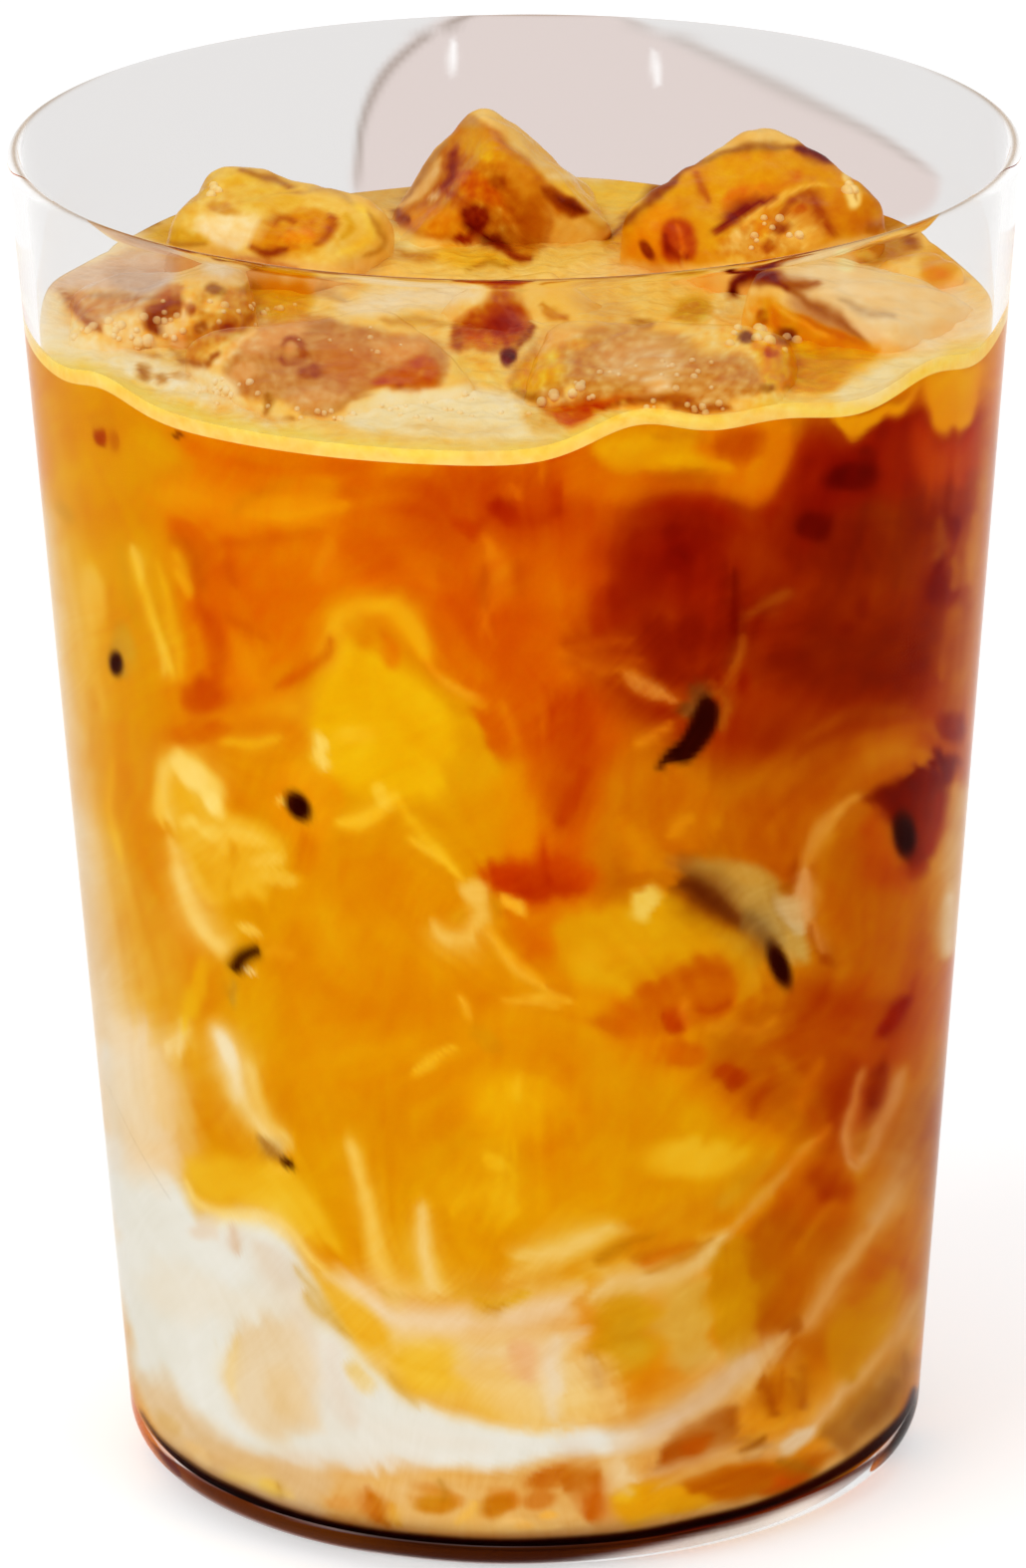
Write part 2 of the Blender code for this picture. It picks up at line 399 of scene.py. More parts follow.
def wall_picture(size):
    """The marbling as the camera sees it on the wall: a grid of colours from 0 to 255."""
    flow, direction = currents(MARBLING, size)
    columns, rows = int(size[0] / GRID) + 2, int(size[1] / GRID) + 2
    x, y = np.meshgrid(np.arange(columns) * GRID, np.arange(rows) * GRID)
    fine = threads(x, y, direction, *FINE_THREADS)
    broad = threads(x, y, direction, *BROAD_THREADS)
    run = look(flow, x, y, CURRENT_STEP)
    drag = DRAG_BROAD * broad + DRAG_FINE * fine
    canvas = np.tile(np.array(AMBER, float), (x.size, 1))
    for strokes, wander, share in ((MARBLING, MARBLING_WANDER, 1.0), (DETAILS, DETAIL_WANDER, DETAIL_DRAG)):
        along = share * drag
        moved_x, moved_y = wandering(x, y, *wander)
        moved_x, moved_y = moved_x + along * run[..., 0], moved_y + along * run[..., 1]
        paint(canvas, moved_x.ravel(), moved_y.ravel(), glowing(strokes))
    cloud = fractal(x, y, 90, 3, 331)
    tone = 1.0 + TONE_FINE * fine + TONE_BROAD * broad + TONE_CLOUD * cloud
    canvas = 255 * np.clip(canvas / 255, 0.0, 1.0) ** np.clip(tone, 0.6, 1.5).reshape(-1, 1)
    # The dark pockets, then the painted shade round the foot and its pale strip of painted light
    paint(canvas, x.ravel(), y.ravel(), POCKETS + FOOT_SHADE_AND_LIGHT)
    return canvas.reshape(rows, columns, 3)


# The strokes that follow are laid one after the other. Each has its brush, colour, strength and width,
# and then the x and y of its points in turn, in the picture's pixels.

# The marbling on the wall
MARBLING = (
    # Broad colours
    (patch, ORANGE, 0.9, 26, 200, 425, 400, 455, 620, 450, 660, 560, 610, 720, 560, 860, 520, 860,
     470, 740, 420, 640, 330, 610, 250, 700, 190, 720, 175, 600, 180, 500),
    (patch, GOLD, 0.9, 22, 20, 350, 120, 385, 180, 440, 150, 520, 175, 620, 165, 720, 150, 800, 170, 950,
     230, 1100, 240, 1230, 120, 1180, 90, 900, 50, 560),
    (patch, DEEP_ORANGE, 0.85, 30, 350, 475, 640, 470, 650, 640, 615, 780, 600, 880, 545, 870, 520, 770,
     440, 640, 370, 590),
    (patch, RUST, 0.6, 26, 410, 478, 640, 462, 640, 520, 440, 545),
    (patch, RED_BROWN, 1.0, 26, 640, 505, 690, 470, 760, 500, 800, 425, 925, 400, 990, 430, 972, 700,
     965, 800, 900, 740, 830, 770, 740, 800, 690, 780, 640, 740, 590, 660, 610, 560),
    (patch, BURNT, 0.9, 30, 640, 745, 740, 775, 900, 740, 965, 790, 960, 1000, 955, 1200, 930, 1330,
     800, 1380, 740, 1290, 800, 1160, 700, 1060, 760, 1000, 700, 900, 600, 900),
    (patch, GOLD, 1.0, 20, 325, 690, 420, 680, 490, 720, 520, 800, 500, 870, 530, 960, 600, 1040,
     700, 1100, 765, 1160, 730, 1230, 600, 1290, 500, 1310, 400, 1290, 330, 1260, 300, 1235, 230, 1140,
     215, 1000, 225, 850, 300, 790),
    (patch, AMBER, 0.7, 30, 300, 860, 430, 870, 520, 960, 590, 1060, 560, 1150, 400, 1100, 290, 1080),
    (patch, MILK, 1.0, 12, 95, 1150, 150, 1160, 185, 1190, 205, 1222, 255, 1222, 285, 1245, 320, 1300,
     365, 1350, 420, 1400, 500, 1425, 600, 1430, 640, 1450, 560, 1480, 400, 1478, 250, 1470, 150, 1420,
     115, 1300),
    (patch, (238, 188, 78), 0.95, 16, 300, 1262, 345, 1290, 400, 1322, 480, 1338, 560, 1340, 600, 1400,
     560, 1432, 470, 1420, 400, 1392, 350, 1345, 318, 1300),
    (patch, (228, 176, 100), 0.95, 12, 225, 1478, 330, 1482, 460, 1484, 560, 1468, 625, 1470, 660, 1495,
     800, 1470, 880, 1420, 900, 1450, 780, 1520, 640, 1555, 450, 1560, 280, 1530, 180, 1478),
    (patch, TAN, 0.85, 14, 140, 1390, 165, 1385, 200, 1420, 240, 1455, 330, 1480, 300, 1535, 190, 1490,
     150, 1450),
    # The left side
    (streak, (238, 206, 158), 0.85, (14, 26, 60), 38, 480, 62, 660, 80, 800, 93, 950, 105, 1060),
    (patch, (240, 210, 165), 0.9, 26, 90, 1020, 150, 1040, 185, 1100, 190, 1175, 120, 1175, 98, 1100),
    (spot, RED_BROWN, 0.85, (12, 7, 90), 96, 443),
    (spot, BURNT, 0.7, (13, 5, 85), 110, 446),
    (spot, (110, 40, 8), 0.9, (7, 4, 150), 186, 437),
    (streak, PALE_GOLD, 0.7, 8, 129, 548, 136, 568, 143, 592),
    (streak, PALE_GOLD, 0.4, 6, 143, 592, 155, 620, 168, 650, 172, 690),
    (streak, PALE_GOLD, 0.3, 20, 85, 560, 95, 640, 105, 720),
    (streak, AMBER, 0.6, 26, 110, 720, 122, 800, 140, 880),
    (streak, SMOKE, 0.5, 12, 120, 640, 124, 655, 128, 680),
    # The orange pillow
    (streak, (240, 152, 14), 0.75, (24, 34, 16), 150, 480, 210, 505, 280, 515, 355, 500),
    (patch, (222, 106, 0), 0.9, 8, 202, 545, 265, 544, 330, 532, 334, 560, 326, 600, 330, 642, 318, 668,
     280, 672, 235, 640, 212, 600),
    (patch, (218, 98, 0), 0.8, 7, 168, 525, 198, 530, 206, 552, 186, 552),
    (streak, YELLOW, 0.7, 12, 174, 556, 185, 575, 198, 600),
    (streak, DEEP_ORANGE, 0.9, 9, 176, 532, 199, 562, 201, 605, 216, 632, 222, 665, 219, 698),
    (spot, RUST, 0.85, (20, 15, 20), 203, 702),
    (streak, (236, 132, 12), 0.5, 26, 235, 670, 262, 700, 300, 690),
    (streak, (238, 140, 22), 0.5, 8, 334, 538, 330, 566, 323, 592),
    (streak, (206, 70, 0), 0.9, 8, 276, 690, 297, 682, 320, 668),
    (streak, (206, 82, 0), 0.6, 6, 228, 555, 232, 575, 240, 590),
    (patch, (224, 128, 12), 0.7, 14, 200, 712, 260, 704, 320, 700, 318, 745, 240, 752, 185, 745),
    (streak, YELLOW, 0.8, 7, 210, 747, 245, 746, 285, 742),
    # The yellow hook and its body
    (patch, (238, 174, 12), 0.9, 14, 322, 690, 338, 650, 380, 660, 430, 690, 455, 740, 440, 800,
     360, 800, 316, 770),
    (streak, (240, 172, 26), 0.95, (18, 18, 10), 326, 690, 336, 640, 356, 610, 381, 604, 405, 622,
     424, 650, 430, 676),
    (spot, (220, 112, 4), 0.85, (17, 11, 80), 391, 655),
    (spot, PALE_GOLD, 0.75, (18, 8, 80), 322, 755),
    (streak, (240, 144, 30), 0.7, 5, 424, 664, 464, 696, 508, 708),
    (spot, (210, 84, 0), 0.85, (32, 16, 80), 500, 735),
    (patch, (206, 74, 0), 0.6, 12, 430, 610, 500, 600, 520, 690, 460, 680),
    (streak, (230, 130, 22), 0.5, 10, 488, 545, 486, 590, 492, 640),
    (spot, (176, 34, 0), 0.75, (15, 10, 20), 505, 512),
    (spot, (186, 46, 0), 0.6, (16, 10, 30), 466, 526),
    (streak, (232, 122, 10), 0.5, 12, 340, 590, 400, 580, 470, 600),
    # Upper right
    (patch, (232, 158, 12), 0.85, 9, 600, 452, 640, 438, 700, 436, 720, 452, 680, 470, 620, 474),
    (patch, (224, 112, 0), 0.7, 14, 580, 460, 640, 480, 720, 480, 740, 500, 620, 505, 560, 490),
    (patch, (224, 112, 2), 0.95, 9, 700, 436, 750, 424, 798, 424, 796, 460, 782, 495, 760, 512, 735, 490,
     705, 470),
    (patch, (186, 60, 0), 0.8, 9, 722, 448, 745, 434, 768, 440, 756, 460, 730, 464),
    (streak, (178, 44, 0), 0.85, 16, 640, 515, 700, 505, 740, 525, 765, 535, 790, 505, 800, 470,
     808, 430),
    (patch, (138, 20, 0), 0.8, 40, 625, 530, 660, 516, 720, 520, 748, 545, 745, 620, 710, 630, 650, 600,
     618, 580),
    (streak, (184, 52, 0), 0.7, 26, 605, 520, 600, 580, 600, 640),
    (patch, (140, 22, 0), 0.9, 12, 812, 440, 850, 452, 905, 412, 922, 440, 925, 500, 870, 510, 800, 560,
     790, 510),
    (spot, (96, 8, 0), 0.85, (22, 13, -10), 857, 474),
    (spot, (100, 12, 0), 0.85, (14, 12, 0), 816, 531),
    (patch, (240, 158, 14), 0.95, 5, 826, 412, 862, 416, 900, 398, 915, 384, 900, 412, 872, 432,
     852, 441),
    (patch, (240, 158, 12), 0.95, 8, 925, 384, 985, 372, 986, 420, 962, 436, 946, 440, 932, 424),
    (patch, (188, 58, 0), 0.85, 10, 918, 424, 946, 448, 982, 436, 980, 482, 930, 490),
    (patch, (126, 27, 0), 0.9, 24, 800, 530, 900, 500, 962, 510, 958, 640, 900, 720, 800, 700, 752, 640),
    (patch, (140, 30, 0), 0.8, 26, 735, 530, 800, 520, 815, 600, 775, 650, 735, 630),
    (streak, (104, 14, 0), 0.75, 11, 738, 560, 740, 600, 738, 640, 724, 676),
    (patch, (126, 20, 0), 0.75, 14, 640, 620, 735, 630, 728, 680, 700, 690, 650, 670),
    (streak, (168, 72, 10), 0.6, 8, 746, 606, 744, 640, 734, 676),
    (streak, (166, 78, 22), 0.55, 7, 745, 616, 770, 608, 798, 592),
    (streak, (104, 10, 0), 0.9, 13, 952, 548, 944, 580, 932, 610),
    (streak, (206, 126, 40), 0.7, (9, 9, 12), 988, 440, 982, 560, 972, 720),
    (streak, (176, 84, 6), 0.6, 20, 964, 600, 958, 680, 950, 740),
    (streak, (222, 128, 40), 0.85, 8, 618, 676, 648, 689, 678, 700),
    (streak, (212, 104, 14), 0.6, 8, 560, 650, 600, 668, 640, 672),
    (spot, GREY_BROWN, 0.8, (24, 13, -50), 694, 700),
    (streak, (170, 96, 22), 0.6, 10, 708, 690, 728, 700, 726, 740),
    (spot, (120, 44, 6), 0.7, (10, 5, -40), 656, 774),
    (streak, (180, 46, 0), 0.85, 36, 590, 680, 580, 740, 572, 790, 556, 840),
    (streak, (230, 140, 2), 0.8, 44, 500, 770, 520, 810, 530, 860),
    (patch, (212, 116, 6), 0.8, 16, 620, 770, 690, 778, 720, 810, 700, 870, 640, 880, 606, 840),
    (streak, (196, 102, 10), 0.75, 16, 760, 810, 800, 780, 850, 752, 901, 733, 936, 736, 954, 752),
    (patch, (150, 46, 0), 0.6, 20, 760, 730, 860, 700, 950, 700, 880, 730, 800, 770),
    (patch, (186, 78, 2), 0.8, 16, 720, 810, 790, 800, 840, 790, 815, 850, 790, 900, 740, 860),
    # The red block and the knot
    (patch, (200, 64, 0), 0.95, 10, 486, 868, 520, 862, 590, 864, 600, 890, 560, 912, 510, 906,
     488, 892),
    (spot, (176, 40, 0), 0.8, (30, 9, 6), 545, 897),
    (patch, (220, 112, 4), 0.75, 14, 520, 915, 600, 905, 640, 940, 560, 960, 520, 940),
    (streak, (244, 198, 98), 0.95, (10, 13, 12), 430, 924, 442, 944, 466, 948, 482, 930, 482, 905),
    (spot, (243, 194, 92), 0.9, (16, 13, 60), 478, 897),
    (spot, (222, 150, 20), 0.7, (10, 7, 0), 462, 925),
    (spot, (245, 178, 46), 0.95, (15, 10, 5), 516, 909),
    (streak, (206, 120, 8), 0.7, 6, 497, 896, 496, 912, 505, 925),
    (streak, (244, 184, 66), 0.85, 7, 487, 931, 505, 954, 522, 973, 556, 994),
    (streak, (247, 190, 52), 0.7, 6, 402, 842, 440, 862, 468, 886),
    (streak, (246, 186, 60), 0.55, 6, 500, 1004, 540, 1002, 572, 1008),
    # The golden island and its pockets
    (patch, (226, 158, 14), 0.9, 10, 560, 935, 600, 912, 650, 898, 690, 905, 730, 935, 745, 965,
     730, 985, 680, 975, 620, 990, 570, 975),
    (spot, (240, 198, 84), 0.9, (22, 14, -35), 650, 908),
    (streak, (216, 144, 24), 0.9, 14, 720, 936, 744, 962, 752, 990, 748, 1012),
    (patch, (200, 88, 2), 0.85, 10, 640, 990, 690, 965, 732, 966, 736, 1010, 690, 1030, 640, 1040,
     600, 1020),
    (spot, (172, 44, 0), 0.8, (14, 11, 90), 675, 1026),
    (spot, (180, 56, 0), 0.75, (18, 12, 20), 735, 1080),
    (spot, (196, 72, 0), 0.7, (26, 14, 0), 680, 1060),
    (patch, (196, 148, 62), 0.9, 9, 690, 868, 740, 862, 775, 880, 800, 905, 815, 930, 810, 965, 790, 960,
     760, 930, 720, 905),
    (spot, (212, 174, 116), 0.85, (22, 13, 50), 800, 917),
    (spot, (190, 110, 30), 0.7, (20, 9, 10), 690, 866),
    (streak, (92, 38, 12), 0.9, (16, 20, 12), 680, 884, 703, 893, 724, 912, 746, 930),
    (streak, (118, 76, 30), 0.85, (12, 22, 18), 736, 922, 760, 938, 776, 958),
    (streak, (230, 170, 112), 0.9, (6, 11, 8), 804, 872, 808, 900, 813, 925),
    (streak, (220, 146, 58), 0.85, 8, 799, 895, 812, 866, 824, 836, 845, 811, 868, 795),
    (streak, (222, 142, 66), 0.85, 6, 812, 915, 824, 944, 834, 964),
    (streak, (150, 56, 0), 0.7, 8, 820, 930, 826, 955, 838, 975),
    (streak, (156, 56, 0), 0.6, 12, 800, 860, 798, 880, 790, 895),
    (patch, (106, 14, 0), 0.95, 8, 864, 806, 895, 782, 926, 762, 963, 768, 950, 800, 942, 850, 926, 874,
     905, 860, 892, 828),
    (patch, (184, 74, 2), 0.8, 10, 866, 814, 885, 820, 900, 865, 920, 885, 880, 890, 862, 850),
    (streak, (224, 180, 128), 0.8, (16, 18, 12), 966, 790, 960, 880, 954, 975),
    (streak, (238, 214, 180), 0.75, 10, 957, 905, 953, 945, 951, 975),
    # The left finger and its pockets
    (patch, (243, 186, 48), 0.75, 10, 160, 800, 166, 768, 190, 756, 212, 775, 226, 812, 270, 832,
     290, 860, 260, 900, 200, 900, 172, 850),
    (streak, (250, 212, 104), 0.9, (12, 14, 8), 218, 808, 205, 778, 184, 762, 163, 775, 158, 805,
     166, 835),
    (spot, (252, 214, 112), 0.9, (17, 14, 50), 190, 777),
    (spot, (251, 208, 96), 0.85, (16, 9, 60), 210, 802),
    (streak, (248, 206, 104), 0.85, (8, 13, 9), 168, 838, 173, 872, 188, 910, 208, 940, 232, 962),
    (streak, (247, 196, 74), 0.6, 14, 180, 826, 220, 836, 262, 846),
    (streak, (232, 160, 20), 0.6, 12, 186, 850, 210, 880, 226, 915),
    (patch, (232, 136, 8), 0.75, 12, 268, 780, 310, 772, 336, 800, 330, 840, 305, 850, 275, 830),
    (streak, (214, 106, 0), 0.85, 10, 312, 835, 308, 858, 303, 880),
    (spot, PALE_GOLD, 0.6, (6, 5, 0), 279, 807),
    (streak, (248, 190, 42), 0.85, 10, 334, 826, 366, 823, 385, 808, 398, 796),
    (streak, (176, 120, 40), 0.6, 5, 233, 985, 232, 1000, 233, 1010),
    (spot, CREAM, 0.7, (9, 5, -40), 250, 976),
    # Pale streaks over the milk
    (streak, (246, 222, 162), 0.9, (10, 18, 10), 208, 1024, 224, 1052, 236, 1082, 246, 1110, 266, 1134,
     292, 1160),
    (spot, (246, 230, 190), 0.8, (22, 7, 62), 227, 1058),
    (streak, (246, 212, 138), 0.85, 13, 183, 1014, 180, 1040, 166, 1066),
    (spot, (238, 178, 20), 0.7, (30, 12, -60), 196, 1000),
    (streak, (226, 142, 8), 0.7, 14, 268, 1040, 270, 1080, 276, 1110),
    (streak, (150, 96, 40), 0.7, 6, 262, 1142, 272, 1156, 286, 1168),
    (patch, (238, 180, 34), 0.85, 10, 190, 1170, 250, 1160, 300, 1190, 330, 1250, 300, 1250, 258, 1216,
     215, 1210),
    # The golden heart
    (streak, (226, 144, 6), 0.6, 22, 285, 1076, 340, 1066, 420, 1052, 450, 1045),
    (spot, (208, 130, 14), 0.75, (18, 10, 40), 486, 1044),
    (streak, (250, 200, 50), 0.7, 5, 402, 1090, 430, 1072, 458, 1054),
    (streak, (248, 190, 62), 0.65, 5, 454, 994, 460, 1008, 466, 1024),
    (streak, (248, 196, 60), 0.5, 5, 513, 1104, 517, 1088, 520, 1072),
    (streak, (222, 140, 6), 0.85, 8, 334, 1112, 340, 1150, 350, 1200, 358, 1250, 368, 1284),
    (streak, (245, 200, 96), 0.85, (6, 12, 20), 352, 1135, 364, 1190, 374, 1250, 390, 1288, 425, 1306),
    (streak, (242, 200, 106), 0.75, (5, 12, 16), 424, 1200, 428, 1250, 438, 1300),
    (streak, (220, 148, 8), 0.7, 6, 404, 1204, 420, 1182, 442, 1162, 474, 1142),
    (streak, (226, 140, 4), 0.7, 30, 540, 1130, 548, 1200, 545, 1245),
    (streak, (226, 146, 6), 0.6, 16, 584, 1160, 594, 1190, 602, 1220),
    (spot, (240, 184, 38), 0.8, (50, 22, 0), 700, 1165),
    (spot, (240, 172, 10), 0.6, (60, 40, 0), 520, 1110),
    # The folds over the milk
    (streak, (247, 210, 110), 0.9, 9, 186, 1176, 200, 1208, 232, 1225, 258, 1222, 284, 1238, 302, 1262,
     322, 1284),
    (streak, (240, 206, 120), 0.8, 18, 500, 1262, 560, 1258, 600, 1242, 640, 1236),
    (streak, (240, 220, 190), 0.95, (12, 26, 26), 322, 1284, 360, 1300, 400, 1318, 450, 1322, 500, 1324,
     545, 1316, 590, 1302),
    (streak, (236, 208, 150), 0.85, (24, 18, 12), 580, 1302, 632, 1294, 672, 1284, 704, 1264, 740, 1236),
    (streak, (232, 200, 160), 0.8, 22, 440, 1350, 500, 1356, 560, 1346, 600, 1330),
    (streak, (222, 162, 24), 0.85, 9, 462, 1300, 492, 1312, 524, 1300),
    (patch, (216, 130, 10), 0.85, 10, 626, 1232, 680, 1205, 735, 1200, 745, 1225, 700, 1240, 650, 1252),
    (streak, (190, 108, 8), 0.85, 7, 600, 1272, 626, 1254, 668, 1236),
    (streak, (192, 100, 6), 0.9, 12, 632, 1276, 664, 1262, 706, 1246),
    (streak, (222, 160, 62), 0.85, 6, 733, 1242, 749, 1217, 770, 1196, 795, 1170, 826, 1140),
    (streak, (214, 158, 40), 0.6, 18, 720, 1210, 750, 1190, 780, 1160),
    # The lower milk and its folds
    (streak, (214, 164, 66), 0.8, 7, 286, 1272, 304, 1298, 326, 1322, 348, 1344),
    (patch, (236, 172, 34), 0.85, 8, 312, 1286, 345, 1300, 385, 1325, 388, 1350, 355, 1345, 330, 1320),
    (patch, (238, 180, 38), 0.8, 14, 398, 1350, 450, 1345, 465, 1380, 430, 1400, 400, 1385),
    (spot, (232, 166, 106), 0.8, (22, 14, 60), 522, 1365),
    (patch, (238, 196, 120), 0.7, 16, 470, 1360, 600, 1350, 620, 1420, 520, 1430),
    (streak, (232, 208, 170), 0.7, 18, 548, 1350, 556, 1390, 562, 1430),
    (spot, (238, 204, 120), 0.8, (18, 10, 50), 360, 1382),
    (patch, (230, 200, 152), 0.85, 14, 228, 1350, 250, 1325, 290, 1325, 314, 1360, 312, 1420, 285, 1452,
     245, 1430, 228, 1390),
    (streak, (234, 198, 124), 0.7, 10, 236, 1340, 228, 1370, 232, 1400),
    (streak, (228, 208, 180), 0.7, 18, 250, 1250, 275, 1290, 300, 1330, 320, 1370),
    (patch, (234, 222, 198), 0.6, 14, 150, 1270, 230, 1290, 300, 1310, 220, 1330, 150, 1310),
    (streak, (216, 184, 150), 0.7, 7, 230, 1232, 234, 1248, 238, 1266),
    (spot, (226, 196, 160), 0.6, (14, 8, 0), 204, 1238),
    # Lower right
    (patch, (212, 148, 20), 0.9, 12, 602, 1312, 640, 1302, 662, 1330, 655, 1368, 620, 1375, 600, 1345),
    (patch, (218, 166, 64), 0.85, 12, 664, 1300, 708, 1290, 712, 1330, 722, 1362, 690, 1372, 664, 1350),
    (patch, (206, 132, 8), 0.95, 7, 714, 1272, 738, 1242, 765, 1250, 775, 1310, 762, 1350, 740, 1368,
     722, 1340),
    (patch, (184, 90, 4), 0.9, 10, 752, 1240, 790, 1210, 812, 1250, 815, 1300, 790, 1335, 768, 1325),
    (patch, (190, 98, 6), 0.7, 16, 815, 1200, 870, 1150, 860, 1240, 820, 1300),
    (patch, (208, 136, 10), 0.85, 14, 836, 1330, 870, 1290, 900, 1290, 890, 1350, 850, 1380),
    (streak, (224, 188, 140), 0.95, (40, 30, 12), 600, 1448, 660, 1438, 706, 1414, 744, 1382, 774, 1356,
     800, 1330),
    (streak, (236, 214, 180), 0.8, 16, 610, 1446, 650, 1444, 690, 1426),
    (streak, (220, 156, 82), 0.9, (10, 14, 14), 796, 1334, 820, 1320, 842, 1284, 868, 1248, 892, 1216,
     918, 1176, 936, 1140),
    (spot, (170, 76, 6), 0.8, (8, 6, 0), 800, 1330),
    (streak, (164, 72, 6), 0.85, 11, 772, 1382, 776, 1402, 782, 1424),
    (streak, (168, 74, 8), 0.85, 11, 798, 1376, 804, 1398, 810, 1418),
    (streak, (196, 106, 8), 0.7, 12, 786, 1370, 792, 1400, 796, 1425),
    (patch, (166, 78, 6), 0.9, 6, 655, 1483, 668, 1454, 704, 1431, 741, 1411, 744, 1436, 722, 1455,
     688, 1472),
    (spot, (150, 78, 10), 0.85, (15, 8, -35), 757, 1451),
    (streak, (222, 170, 112), 0.95, (16, 16, 14), 625, 1496, 676, 1478, 720, 1462, 760, 1454, 800, 1442,
     838, 1415, 868, 1388, 892, 1360, 912, 1328, 928, 1290),
    (spot, (230, 200, 158), 0.9, (24, 10, -20), 800, 1444),
    (streak, (204, 146, 74), 0.7, 20, 905, 1390, 925, 1320, 938, 1240, 945, 1160),
    (patch, (160, 96, 32), 0.85, 12, 830, 1435, 870, 1405, 905, 1370, 920, 1385, 900, 1425, 850, 1465),
    # The right-hand loops
    (patch, (170, 58, 0), 0.85, 16, 800, 990, 880, 1000, 920, 980, 930, 1040, 890, 1100, 850, 1180,
     810, 1200, 830, 1120, 790, 1060),
    (spot, (136, 16, 0), 0.85, (26, 10, -55), 896, 1022),
    (spot, (142, 44, 4), 0.85, (34, 12, 105), 882, 1100),
    (streak, (212, 138, 74), 0.9, 8, 871, 1066, 858, 1100, 851, 1135, 858, 1164, 876, 1172),
    (streak, (212, 144, 82), 0.9, (8, 15, 12), 912, 1076, 896, 1112, 882, 1150, 868, 1172),
    (patch, (190, 112, 44), 0.75, 14, 925, 1100, 950, 1080, 948, 1160, 915, 1180, 895, 1160),
    (patch, (196, 88, 2), 0.7, 14, 780, 1180, 850, 1170, 860, 1220, 790, 1230),
    (spot, (172, 58, 0), 0.8, (24, 16, 0), 838, 1196),
    (streak, (186, 76, 2), 0.6, 30, 760, 1060, 830, 1040, 880, 970),
    # The bottom
    (streak, (202, 104, 18), 0.85, 12, 364, 1490, 370, 1510, 378, 1528),
    (spot, (204, 110, 18), 0.8, (26, 11, 10), 432, 1504),
    (spot, (210, 118, 24), 0.8, (20, 12, -20), 505, 1508),
    (spot, (200, 108, 20), 0.8, (26, 12, -15), 560, 1490),
    (streak, (190, 76, 2), 0.9, 18, 600, 1480, 602, 1506, 594, 1532),
    (streak, (246, 196, 106), 0.8, 9, 390, 1534, 450, 1538, 520, 1538, 570, 1536),
    (streak, (234, 198, 140), 0.85, 14, 622, 1462, 626, 1482, 640, 1500),
    (patch, (232, 160, 14), 0.9, 10, 622, 1512, 650, 1496, 700, 1490, 740, 1494, 700, 1518, 640, 1534),
    (spot, (238, 180, 30), 0.8, (16, 8, -10), 642, 1510),
    (patch, (190, 94, 4), 0.9, 8, 690, 1494, 730, 1470, 800, 1462, 836, 1462, 780, 1496, 720, 1512),
    (spot, (200, 88, 12), 0.7, (22, 7, -25), 786, 1488),
    (streak, (240, 198, 96), 0.8, 10, 215, 1478, 250, 1492, 290, 1506),
)

# Pockets of dark coffee, laid on last
POCKETS = (
    (spot, BLACK_BROWN, 1.0, (13, 7, 85), 116, 669),
    (spot, BLACK_BROWN, 1.0, (17, 11, 55), 299, 810),
    (streak, BLACK_BROWN, 1.0, (13, 13, 9), 233, 978, 243, 962, 262, 954),
    (spot, BLACK_BROWN, 1.0, (25, 10, 68), 783, 970),
    (spot, (36, 6, 2), 0.95, (24, 12, 82), 909, 840),
    (patch, BLACK_BROWN, 1.0, 4, 705, 700, 717, 703, 722, 714, 718, 734, 706, 752, 690, 766, 672, 766,
     660, 773, 668, 756, 684, 742, 694, 722),
    (spot, (64, 22, 4), 0.95, (8, 5, 30), 288, 1169),
)

# Painted shade round the foot, where the glass's heel shows the dark under it, and a pale strip of painted
# light through the clear foot at the right
FOOT_SHADE_AND_LIGHT = (
    (patch, (44, 8, 0), 1.0, 4, 140, 1424, 160, 1450, 200, 1480, 240, 1499, 290, 1520, 350, 1535,
     420, 1544, 500, 1549, 588, 1545, 647, 1538, 705, 1525, 764, 1510, 823, 1484, 867, 1457, 905, 1425,
     918, 1400, 920, 1420, 905, 1445, 870, 1474, 823, 1500, 764, 1524, 705, 1540, 640, 1556, 560, 1568,
     480, 1570, 390, 1561, 330, 1552, 270, 1534, 210, 1507, 168, 1474),
    # A pale strip of painted light through the clear foot
    (streak, (240, 230, 218), 0.9, 13, 660, 1561, 740, 1546, 817, 1520, 885, 1484, 915, 1452),
)

